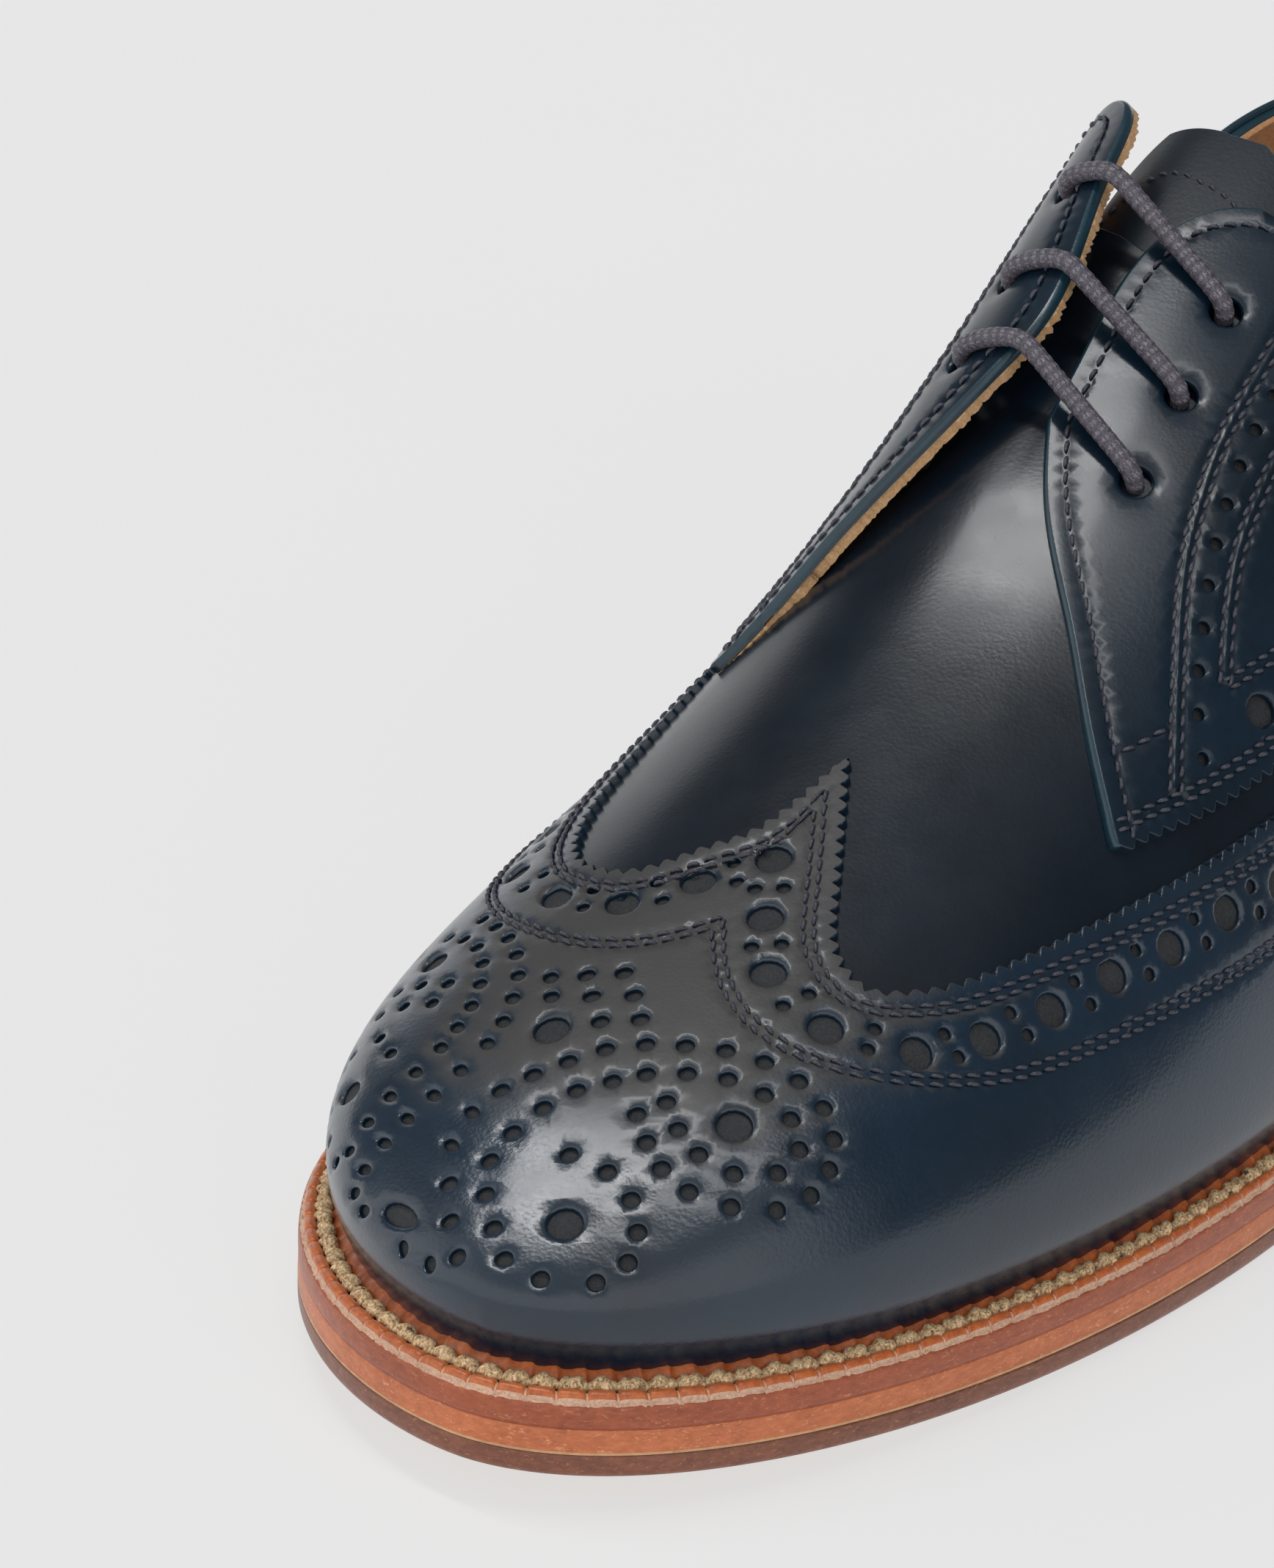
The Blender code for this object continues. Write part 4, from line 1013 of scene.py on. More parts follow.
def laid_share(ring, radius, lift):
    """How much of its area a hole keeps when the pattern is laid on the shoe."""
    points = on_shoe(*CHART.place(ring), lift)[0] / MM
    spokes = points - points.mean(axis=0)
    area = np.linalg.norm(np.cross(spokes, np.roll(spokes, -1, axis=0)).sum(axis=0)) / 2.0
    return area / (math.pi * (radius + hole_soft(radius)) ** 2)


def fitted(holes, loop, lift):
    """The same holes, those over the panel's edge swung towards the ridge until they fit, or left out."""
    kept = []
    for centre, radius in holes:
        centre = np.asarray(centre, float)
        for _ in range(FIT_TRIES):
            ring = hole_ring(centre, radius)
            inside = inside_loop(hole_ring(centre, radius + HOLE_APART), loop).all()
            if inside and laid_share(ring, radius, lift) > FIT_SHARE:
                kept.append((centre, radius))
                break
            reach, angle = np.hypot(*centre), math.atan2(centre[1], centre[0])
            angle -= math.copysign(math.radians(FIT_SWING), angle)
            centre = reach * np.array([math.cos(angle), math.sin(angle)])
    return kept


def apart(holes):
    """The same holes without those that would run into an earlier one."""
    kept = []
    for centre, radius in holes:
        reach = radius + hole_soft(radius) + HOLE_APART
        if all(np.hypot(*(centre - other)) > reach + size + hole_soft(size) for other, size in kept):
            kept.append((np.asarray(centre), radius))
    return kept


# Where the cap is dull: behind the tip and facing up towards the overhead lamp. There it is rougher and
# carries a painted sheen.
DULL_SHEEN_FROM, DULL_SHEEN_OVER, DULL_SHEEN_TILT, DULL_SHEEN_TILT_OVER = 22.0, 14.0, 0.80, 0.11
TOE_FOLD, TOE_FOLD_FROM, TOE_FOLD_FULL, TOE_FOLD_PROUD, TOE_FOLD_UNDER = 3.0, 0.9, 1.04, 0.05, 0.15
TOE_FOLD_THICK, TOE_FOLD_SOFT, CAP_THINNER = 0.6, 0.05, 0.15


def sink(girth):
    """How far an overlay lies under its own face towards the welt."""
    return SINK * smooth_step((np.abs(girth) - SINK_FROM) / SINK_OVER)


def cap_lift(turn, girth):
    return CAP_FACE - sink(girth)


def make_wing_cap():
    tail = {side: turn_at(Curve(WING_EDGE[side])(1.0)) for side in (OUTER, INNER)}
    rows = {side: np.linspace(0.0, 1.0, 90) * tail[side] for side in (OUTER, INNER)}
    inner_edge = gimped(wing_line(INNER))
    outer_edge = gimped(wing_line(OUTER)[::-1])
    loop = np.concatenate([inner_edge[:-1], CHART.flat(rows[INNER][::-1], 1.0)[:-1],
                           CHART.flat(rows[OUTER], -1.0)[:-1], outer_edge[:-1]])
    holes = [(np.array(centre), LARGE_HOLE) for centre in MEDALLION_LARGE]
    for side, line in band_lines(BAND_HOLES).items():
        holes += wing_punches(side, line)
    for count, *guide in MEDALLION:
        holes += [(centre, MEDALLION_HOLE) for centre in even_steps(guide, count=count)]
    seams = [line for distance in EDGE_SEAMS + BAND_SEAM for line in band_lines(distance).values()]

    def skirt(turn, girth, faces):
        for side in (OUTER, INNER):
            edge = Curve(WING_EDGE[side])
            turn, girth, faces = skirt_strip(turn, girth, faces, side,
                                             lambda share, level: share * turn_at(edge(level)),
                                             np.linspace(1.0, OVERLAY_END, 9)[1:])
        return turn, girth, faces
    holes = apart(fitted(holes, loop, cap_lift))
    points, normals, faces, soft = lay(loop, np.full(len(loop), EDGE_SOFT), holes, seams, cap_lift, skirt)
    points, normals, faces, kind = thicken(points, normals, faces, CAP_LEATHER - CAP_THINNER, soft)
    piece = add_mesh("wing_cap_leather", points, faces, [CAP_NAVY, CAP_NAVY, TONGUE_NAVY],
                     ["wing_cap"], normals, kind)
    back = points[:, 0] / MM + LENGTH / 2.0
    # Top-facing cap leather behind the tip: rougher, and with a grey painted sheen.
    dull_and_sheen = smooth_step((back - DULL_SHEEN_FROM) / DULL_SHEEN_OVER)
    dull_and_sheen = dull_and_sheen * smooth_step((normals[:, 2] - DULL_SHEEN_TILT) / DULL_SHEEN_TILT_OVER)
    piece.data.attributes.new("dull_and_sheen", "FLOAT", "POINT").data.foreach_set("value", dull_and_sheen.astype(np.float32))
    sew("wing_cap_stitching", seams, cap_lift, DARK_THREAD)
    make_toe_fold()


def make_toe_fold():
    """Leather drawn round the very tip, where the flat pattern closes."""
    turns = np.linspace(0.0, turn_at(TOE_FOLD), 14)
    girths = np.linspace(TOE_FOLD_FROM, OVERLAY_END, 30)
    points, normals, faces = [], [], []

    def lift(turn, girth):
        rise = np.minimum(1.0 - turn / turn_at(TOE_FOLD),
                          (np.abs(girth) - TOE_FOLD_FROM) / (TOE_FOLD_FULL - TOE_FOLD_FROM))
        rise = (TOE_FOLD_PROUD + TOE_FOLD_UNDER) * np.clip(rise, 0.0, 1.0)
        return cap_lift(turn, girth) - TOE_FOLD_UNDER + rise
    tip = sum(on_shoe(0.0, side * girths, lift)[0] for side in (OUTER, INNER)) / 2.0
    for side in (OUTER, INNER):
        p, n = on_shoe(turns[:, None], side * girths[None, :], lift)
        p[0] = tip
        faces += grid_faces(len(turns), len(girths), len(points) * len(turns) * len(girths))
        points.append(p.reshape(-1, 3))
        normals.append(n.reshape(-1, 3))
    points, normals = np.concatenate(points), np.concatenate(normals)
    kept, faces, _ = weld(points, faces)
    add_sheet("wing_cap_toe_fold", (points[kept], normals[kept], faces), TOE_FOLD_THICK,
              [CAP_NAVY, CAP_NAVY, TONGUE_NAVY], soft=TOE_FOLD_SOFT)


# Quarters

#          back, girth down the front edge of the facing
FRONT_EDGE = {
    OUTER: ((148.0, 0.01), (137.9, 0.061), (124.0, 0.190), (114.5, 0.293), (104.0, 0.452)),
    INNER: ((152.0, 0.09), (143.0, 0.155), (133.0, 0.255), (124.0, 0.36), (116.5, 0.455)),
}
FACING_SEAM = 2.3
# Worked out by a scratch program from points picked in the photograph, apart from end rows
#             back, girth of the outer quarter's stay seam, the small holes behind it, the seam behind those
STAY_SEAM = ((115.4, 0.457), (121.0, 0.406), (128.0, 0.351), (134.2, 0.309), (141.0, 0.275), (148.6, 0.254),
             (155.8, 0.243), (164.0, 0.244), (172.0, 0.248), (182.0, 0.262), (190.0, 0.295))
STAY_HOLES = ((123.0, 0.467), (126.6, 0.422), (131.0, 0.386), (136.0, 0.358), (140.8, 0.333), (146.0, 0.314),
              (151.4, 0.301), (157.0, 0.293), (162.6, 0.291), (172.0, 0.294), (182.0, 0.308), (188.0, 0.33))
STAY_BACK_SEAM = ((131.6, 0.426), (135.6, 0.396), (139.4, 0.373), (143.4, 0.353), (147.8, 0.339),
                  (152.0, 0.333), (159.8, 0.329), (170.0, 0.331), (180.0, 0.341), (187.0, 0.362))
STAY_TACK = ((114.0, 0.358), (117.6, 0.376), (121.6, 0.394))
STAY_SHIFT = {OUTER: (0.0, 0.0), INNER: (9.0, 0.03)}
STAY_PITCH, ROW_APART, FIRST_LARGE, FIRST_STITCH = 6.2, 1.7, 1.5, 0.5
LOW_HANG, HANG_FROM_FRONT, HANG_FROM_SIDE = 1.5, 18.0, 30.0
QUARTER_HOLES, QUARTER_SEAM = 7.0, (11.7, 13.0)
EYELET_DIP, EYELET_DIP_REACH, GIRTH_REACH, BACK_REACH = 0.35, 2.3, 90.0, 1.2
STAY_LINING_FROM, STAY_LINING_WIDE, STAY_LINING_PAST = 150.0, 2.6, 1.2
STAY_LINING_THICK, STAY_LINING_SOFT, QUARTER_THICK = 0.5, 0.05, 1.4
LINING_PROUD, LINING_TOP, LINING_THICK, LINING_INSIDE, LINING_FRINGE = 0.5, 1.45, 1.5, 5.0, 0.22


def table_line(rows, side, count=400):
    """A smooth flat line through rows of back and girth."""
    turns, girths = turn_at([row[0] for row in rows]), np.array([row[1] for row in rows])
    flat = CHART.flat(turns, side * girths)
    return even_steps(flat, count=count)


def low_rows(side):
    """The quarter's lower edge as far as the widest line."""
    rows = [row for row in QUARTER_LOW[side] if row[1] < 1.0]
    crossing = Curve([(row[1], row[0]) for row in QUARTER_LOW[side]])(1.0)
    return rows + [(float(crossing), 1.0)]


def low_line(side):
    """The quarter's lower edge, flat, hanging a little over the seam line between its ends."""
    line = table_line(low_rows(side), side)
    reach = travelled(line)
    hang = LOW_HANG * smooth_step(reach / HANG_FROM_FRONT) * smooth_step((reach[-1] - reach) / HANG_FROM_SIDE)
    return line + sideways(line) * (side * hang)[:, None]


def flap_lift(back, girth, side):
    """How far a facing stands off the vamp beyond its seam."""
    near = smooth_step((FLAP_LIFT_GIRTH - girth) / FLAP_LIFT_GIRTH)
    ahead = smooth_step((back - FLAP_LIFT_FROM) / (FLAP_LIFT_FULL - FLAP_LIFT_FROM))
    return FLAP_LIFT[side] * near * ahead


def quarter_lift(side, face):
    def lift(turn, girth):
        back, across = back_at(turn), np.abs(girth)
        dip = 0.0
        for eyelet_back, eyelet_girth in EYELETS[side]:
            away = ((back - eyelet_back) * BACK_REACH) ** 2 + ((across - eyelet_girth) * GIRTH_REACH) ** 2
            dip = dip + EYELET_DIP * np.exp(-away / (2.0 * EYELET_DIP_REACH ** 2))
        return face - sink(girth) - dip + flap_lift(back, across, side)
    return lift


def upper_line(side):
    """The quarter's free edge, flat: along the collar from the back seam, then down the facing."""
    facing_top = FACING[side][-1]
    turns = np.linspace(1.0 - SEAM_GAP, turn_at(facing_top[0] + 4.0), 90)
    collar = CHART.flat(turns, side * collar_girth(turns, side))
    facing = table_line(FACING[side][::-1], side, 90)
    front = table_line(FRONT_EDGE[side], side, 80)
    return np.concatenate([collar, facing[:-1], front])


def quarter_outline(side):
    """One quarter's flat loop and its edge's softness: lower edge, widest line, back seam, free edge."""
    low = low_line(side)
    teeth = gimped(low[::-1])[::-1] if side == INNER else gimped(low)
    start = turn_at(low_rows(side)[-1][0])
    widest = CHART.flat(np.linspace(start, 1.0 - SEAM_GAP, 60), float(side))
    end_girth = collar_girth(np.array([1.0 - SEAM_GAP]), side)[0]
    seam = CHART.flat(1.0 - SEAM_GAP, side * np.linspace(1.0, end_girth, 40))
    sewn = np.concatenate([teeth[:-1], widest[:-1], seam[:-1]])
    free = upper_line(side)[:-1]
    loop = np.concatenate([sewn, free])
    soft = np.concatenate([np.full(len(sewn), EDGE_SOFT), np.full(len(free), ROLLED_SOFT)])
    return (loop, soft) if side == INNER else (loop[::-1], soft[::-1])


def quarter_skirt(side):
    rows = QUARTER_LOW[side]
    edge = Curve([(row[1], row[0]) for row in rows])

    def skirt(turn, girth, faces):
        end = 1.0 - SEAM_GAP
        return skirt_strip(turn, girth, faces, side,
                           lambda share, level: turn_at(edge(level)) + share * (end - turn_at(edge(level))),
                           np.linspace(1.0, OVERLAY_END, 9)[1:])
    return skirt


def stay_line(rows, side):
    back, girth = STAY_SHIFT[side]
    return table_line([(row[0] + back, row[1] + girth) for row in rows], side)


def make_quarter(side):
    word = WORD[side]
    loop, loop_soft = quarter_outline(side)
    low = low_line(side)
    back_seam = stay_line(STAY_BACK_SEAM, side)
    corner = back_seam[0, 0]
    distances = (QUARTER_HOLES,) + EDGE_SEAMS + QUARTER_SEAM
    bands = {distance: inset_line(low, -side * distance) for distance in distances}
    holes = [(CHART.flat(turn_at(back), side * girth)[0], EYELET_RADIUS) for back, girth in EYELETS[side]]
    holes += [(centre, SMALL_HOLE) for centre in resample(stay_line(STAY_HOLES, side), STAY_PITCH)]
    band = bands[QUARTER_HOLES]
    holes += band_punches(band[band[:, 0] > corner + FIRST_LARGE], BAND_PITCH)
    free = inset_line(resample(upper_line(side), 0.3), -side * FACING_SEAM)
    seams = [bands[distance] for distance in EDGE_SEAMS]
    seams += [bands[distance][bands[distance][:, 0] > corner + FIRST_STITCH] for distance in QUARTER_SEAM]
    for line in (stay_line(STAY_SEAM, side), back_seam):
        seams += [line, inset_line(line, side * ROW_APART)]
    seams += [free, stay_line(STAY_TACK, side)]
    seams = [line[inside_loop(line, loop)] for line in seams]
    lift = quarter_lift(side, QUARTER_FACE)
    points, normals, faces, soft = lay(loop, loop_soft, apart(holes), seams, lift, quarter_skirt(side))
    add_sheet(f"quarter_{word}_leather", (points, normals, faces), QUARTER_THICK,
              [QUARTER_NAVY, EDGE_BLUE, TAN_LINING], [f"quarter_{word}"], soft,
              soft == ROLLED_SOFT)
    sew(f"quarter_{word}_stitching", seams, lift, DARK_THREAD)


def make_facing_lining(side):
    """The lining's raw edge, standing out under the lifted facing."""
    facing = table_line(FACING[side][::-1], side, 90)
    line = resample(np.concatenate([facing[:-1], table_line(FRONT_EDGE[side], side, 80)]), 0.4)
    outward = sideways(line) * side
    fringe = np.random.default_rng(11).normal(0.0, LINING_FRINGE, len(line))
    seam = np.zeros(len(line))
    reaches = (LINING_PROUD + fringe, LINING_PROUD * 0.5 + 0.5 * fringe, seam, seam - LINING_INSIDE)
    flat = np.stack([line + outward * reach[:, None] for reach in reaches], 1)
    turn, girth = CHART.place(flat.reshape(-1, 2))
    points, normals = on_shoe(turn, girth, quarter_lift(side, QUARTER_FACE - LINING_TOP))
    add_sheet(f"facing_lining_{WORD[side]}", (points, normals, grid_faces(len(line), len(reaches))),
              LINING_THICK, [LINING_EDGE, LINING_EDGE, TAN_LINING])


def make_stay_lining(side):
    """Lining behind the punched row where the facing stands clear of the vamp, against the light."""
    line = resample(stay_line([row for row in STAY_HOLES if row[0] > STAY_LINING_FROM], side), 1.0)
    line = np.concatenate([line, line[-1:] + unit(line[-1:] - line[-2:-1]) * STAY_LINING_PAST])
    reaches = np.linspace(-STAY_LINING_WIDE, STAY_LINING_WIDE, 7)
    flat = np.stack([line + sideways(line) * reach for reach in reaches], 1)
    turn, girth = CHART.place(flat.reshape(-1, 2))
    points, normals = on_shoe(turn, girth, quarter_lift(side, QUARTER_FACE - LINING_TOP))
    add_sheet(f"stay_lining_{WORD[side]}", (points, normals, grid_faces(len(line), len(reaches))),
              STAY_LINING_THICK, [UNDERLAY, TAN_LINING, TAN_LINING], soft=STAY_LINING_SOFT)


# Vamp, lining and tongue

VAMP_END, VAMP_DIP_FROM, VAMP_DIP_TO, VAMP_DIP, VAMP_DIP_GIRTH = 176.0, 136.0, 172.0, 3.0, 0.34
VAMP_FOOT_OVER, VAMP_FOOT_GIRTH = 6.0, 0.26


def vamp_edge(turn, side):
    """The vamp runs on under the facings as the foot of the tongue, then along the collar."""
    back = back_at(turn)
    under = np.clip((back - VAMP_END) / VAMP_FOOT_OVER, 0.0, 1.0) * VAMP_FOOT_GIRTH
    return np.where(back <= COLLAR_FROM, under, collar_girth(turn, side))


def vamp_lift(face):
    def lift(turn, girth):
        back = back_at(turn)
        dip = smooth_step((back - VAMP_DIP_FROM) / (VAMP_DIP_TO - VAMP_DIP_FROM))
        dip = dip * smooth_step((VAMP_DIP_GIRTH - np.abs(girth)) / VAMP_DIP_GIRTH)
        return face - VAMP_DIP * dip
    return lift


def covered(turn, girth, side):
    """Whether the wing cap or a quarter lies over a place on the vamp."""
    back = back_at(turn)
    cap_edge = Curve(WING_EDGE[side])(np.clip(girth, 0.0, 1.0))
    rows = FRONT_EDGE[side][1:] + tuple(low_rows(side)[1:])
    quarter_edge = np.interp(girth, [row[1] for row in rows], [row[0] for row in rows])
    return (back < cap_edge - COVER) | ((back > quarter_edge + COVER) & (girth > COVER_GIRTH))


COVER, COVER_GIRTH = 3.0, 0.2


def make_shell(name, face, leather, finishes, nodes):
    turns = np.concatenate([np.linspace(0.0, turn_at(VAMP_END), 110), turn_at([178.0, 180.0, 182.0]),
                            np.linspace(turn_at(COLLAR_FROM), 1.0, 80)])
    below = np.concatenate([np.linspace(2.0, 1.0, 9)[:-1], np.linspace(1.0, 0.0, 44)])
    points, normals, faces, under, start = [], [], [], [], 0
    for side in (OUTER, INNER):
        edge = vamp_edge(turns, side)
        girth = np.where(below > 1.0, below, edge[:, None] + (1.0 - edge[:, None]) * below)
        p, n = on_shoe(np.broadcast_to(turns[:, None], girth.shape), side * girth, vamp_lift(face))
        points.append(p.reshape(-1, 3))
        normals.append(n.reshape(-1, 3))
        under.append(covered(np.broadcast_to(turns[:, None], girth.shape), girth, side).ravel())
        sheet = grid_faces(*girth.shape, start)
        faces += sheet if side == OUTER else [f[::-1] for f in sheet]
        start += girth.size
    points, normals = np.concatenate(points), np.concatenate(normals)
    kept, faces, _ = weld(points, faces)
    under = np.concatenate(under)[kept]
    hidden = [3 if all(under[i] for i in face) else 0 for face in faces]
    points, normals, faces, kind = thicken(points[kept], normals[kept], faces, leather)
    kind[:len(hidden)] = hidden
    add_mesh(name, points, faces, finishes, nodes, normals, kind)


TONGUE_SEAM, TONGUE_SEAM_BOW, TONGUE_SEAM_HALF = 8.0, 6.0, 0.2


def make_tongue():
    rows = 1.0 - (1.0 - np.linspace(0.0, 1.0, 60)) ** TONGUE_CROWDING
    backs = TONGUE_FROM + (TONGUE_TO - TONGUE_FROM) * rows
    share = np.linspace(-1.0, 1.0, 41)
    narrowing = smooth_step((backs - TONGUE_NARROW_FROM) / TONGUE_NARROW_OVER)
    half = TONGUE_GIRTH + (TONGUE_TOP_GIRTH - TONGUE_GIRTH) * narrowing
    near_top = np.clip((backs - TONGUE_ROUND_FROM) / (TONGUE_TO - TONGUE_ROUND_FROM), 0.0, 1.0)
    rounded = 1.0 - (1.0 - TONGUE_TOP_SHARE) * near_top ** TONGUE_ROUND
    drift = TONGUE_DRIFT * narrowing
    girth = (half * rounded)[:, None] * share[None, :] + drift[:, None]
    turn = np.broadcast_to(turn_at(backs)[:, None], girth.shape)

    def lift(turn, girth):
        return np.full_like(turn, -(UPPER_WALL + TONGUE_GAP))
    points, normals = (part.reshape(-1, 3) for part in on_shoe(turn, girth, lift))
    add_sheet("tongue_leather_sheet", (points, normals, grid_faces(*girth.shape)), TONGUE_LEATHER,
              [TONGUE_NAVY, EDGE_BLUE, TAN_LINING], ["tongue"])
    seam = [(TONGUE_TO - TONGUE_SEAM - TONGUE_SEAM_BOW * way ** 2, TONGUE_SEAM_HALF * way + TONGUE_DRIFT)
            for way in np.linspace(-1.0, 1.0, 15)]
    sew("tongue_stitching", [table_line(seam, INNER)], lift, DARK_THREAD)


# Lace

BRAID_STRANDS, BRAID_PITCH, BRAID_RELIEF, BRAID_FLECK = 6, 2.8, 0.05, 0.4
LACE_VISIBLE = 0.94 * LACE_RADIUS
LACE_REST, LACE_HIDDEN = 1.25, 5.0


def facing_point(back, girth, side, above):
    lift = QUARTER_FACE + flap_lift(back, girth, side) + above
    return raised(turn_at(back), side * girth, np.float64(lift))


def taut(supports, count=60):
    """The shortest way over a row of supports, as evenly spaced points: their upper hull from end to end."""
    first, last = supports[0], supports[-1]
    along = unit(last - first)
    rise = np.array([0.0, 0.0, 1.0])
    rise = unit(rise - along * (rise @ along))
    places = [((point - first) @ along, (point - first) @ rise) for point in supports]
    kept = []
    for place in places:
        while len(kept) > 1:
            (x0, y0), (x1, y1) = kept[-2:]
            if (x1 - x0) * (place[1] - y0) < (y1 - y0) * (place[0] - x0):
                break
            kept.pop()
        kept.append(place)
    reach = np.linspace(0.0, places[-1][0], count)
    height = np.interp(reach, [place[0] for place in kept], [place[1] for place in kept])
    return np.array([first + along * x + rise * y for x, y in zip(reach, height)])


def soften(line, passes):
    for _ in range(passes):
        line[1:-1] = (line[:-2] + 2.0 * line[1:-1] + line[2:]) / 4.0
    return line


def braided_tube(name, line, radius, finishes, nodes, around=32, step=0.24):
    line = resample(line, step * MM)
    along = unit(np.gradient(line, axis=0))
    side = unit(np.cross(along, np.array([0.0, 0.0, 1.0])))
    up = np.cross(side, along)
    angle = np.arange(around) * 2.0 * math.pi / around
    travel = np.arange(len(line)) * step * 2.0 * math.pi / BRAID_PITCH
    weave = np.cos(BRAID_STRANDS * angle[None, :] + travel[:, None])
    weave = weave * np.cos(BRAID_STRANDS * angle[None, :] - travel[:, None])
    thick = radius * (1.0 + BRAID_RELIEF * weave) * MM
    ring = side[:, None, :] * np.cos(angle)[None, :, None] + up[:, None, :] * np.sin(angle)[None, :, None]
    points = (line[:, None, :] + ring * thick[:, :, None]).reshape(-1, 3)
    faces = tube_faces(len(line), around)
    flecks = [int(strand > BRAID_FLECK) for strand in weave[:-1].ravel()]
    faces.append(tuple(range(around))[::-1])
    faces.append(tuple(range(len(points) - around, len(points))))
    add_mesh(name, points, faces, finishes, nodes, None, flecks + [0, 0])


def make_lace():
    share = np.linspace(0.0, 1.0, 30)
    for number, (outer, inner) in enumerate(zip(EYELETS[OUTER], EYELETS[INNER]), 1):
        outer_girth = outer[1] * (1.0 - share)
        inner_girth = LACE_OVER_EDGE + (inner[1] - LACE_OVER_EDGE) * share
        supports = [facing_point(outer[0], girth, OUTER, LACE_REST) for girth in outer_girth]
        supports += [facing_point(inner[0], girth, INNER, LACE_REST) for girth in inner_girth]
        ends = [[facing_point(*place, side, above) for above in (-LACE_HIDDEN, -0.5 * LACE_HIDDEN, 0.0)]
                for side, place in ((OUTER, outer), (INNER, inner))]
        line = np.array(ends[0] + list(taut(np.array(supports))[3:-3]) + ends[1][::-1])
        line = soften(resample(line, 0.5 * MM), 14)
        braided_tube(f"lace_{number}", line, LACE_VISIBLE, [WAXED_CORD, CORD_FLECK],
                     [f"lace_bar_{number}"])


# Sole

WELT_NOTCH = 4.0
#           share of the visible width inwards from the edge, height above the edge's top, finish
WELT_PROFILE = (
    (0.0, -3.27, 0), (-0.01, -2.6, 0), (-0.012, -1.5, 0), (0.0, -0.6, 0), (0.012, -0.22, 0), (0.035, 0.0, 1),
    (0.07, 0.12, 1), (0.095, 0.25, 1), (0.105, 0.70, 2), (0.135, 1.15, 2), (0.20, 1.42, 2), (0.29, 1.40, 2),
    (0.355, 1.1, 2), (0.39, 0.5, 2), (0.43, 0.2, 2), (0.54, 0.1, 2), (0.66, 0.2, 2), (0.70, 0.6, 2),
    (0.74, 1.2, 2), (0.81, 1.75, 2), (0.90, 2.2, 2), (1.0, 2.6, 2), (1.10, 2.8, 2), (1.2, 2.2, 2),
    (1.25, 0.2, 2), (1.9, 0.0, 2), (1.9, -3.27, 2),
)
RIB, STRIP = (0.10, 0.38), (0.69, 1.15)
WELT_FACE_CLEAR = 1.6
#            along one pitch, depth of the notch there
NOTCH = ((0.0, 1.0), (0.035, 0.8), (0.075, 0.1), (0.14, -0.12), (0.3, -0.25), (0.5, -0.30), (0.7, -0.25),
         (0.86, -0.12), (0.925, 0.1), (0.965, 0.8))
NOTCH_DEPTH, NOTCH_RAW, STRIP_WAVE, STRIP_SHIFT = 0.42, 0.5, 0.26, 0.45
LINEN_PITCH, LINEN_RADIUS, LINEN_SHARE, LINEN_RISE = 4.1, 1.32, 0.545, 0.75
LINEN_STEP, LINEN_SIDES, LINEN_PINCH, LINEN_ARCH, LINEN_TWIST, LINEN_FLAT = 0.34, 18, 0.45, 0.5, 0.75, 0.85
#            thickness between the stitches, more of it in a stitch, more on its two plies
LINEN_THICK = (0.30, 0.34, 0.42)
WELT_ROUGH_UP, WELT_ROUGH_IN = 0.09, 0.06


def round_the_sole(step):
    """Stations right round the sole's edge: plan points, outward directions, back, margin."""
    turns = np.linspace(0.0, 1.0, 3000)
    outer = outline(turns, OUTER)[0]
    inner = outline(turns, INNER)[0][::-1]
    loop = np.concatenate([outer[:-1], inner])
    loop = resample(loop, step, closed=True) if np.isscalar(step) else resample_at(loop, step)
    ahead, behind = np.roll(loop, -1, axis=0), np.roll(loop, 1, axis=0)
    along = unit(ahead - behind)
    outward = np.stack([along[:, 1], -along[:, 0]], -1)
    side = np.where(loop[:, 1] > RIDGE_SIDE(loop[:, 0]), INNER, OUTER)
    width = np.where(side == INNER, margin(loop[:, 0], INNER), margin(loop[:, 0], OUTER))
    return loop, outward, loop[:, 0], width


def resample_at(line, shares):
    length = travelled(line)
    return np.stack([np.interp(np.asarray(shares) * length[-1], length, line[:, i]) for i in (0, 1)], -1)


def sole_length():
    turns = np.linspace(0.0, 1.0, 3000)
    edges = (outline(turns, side)[0] for side in (OUTER, INNER))
    return sum(np.linalg.norm(np.diff(edge, axis=0), axis=1).sum() for edge in edges)


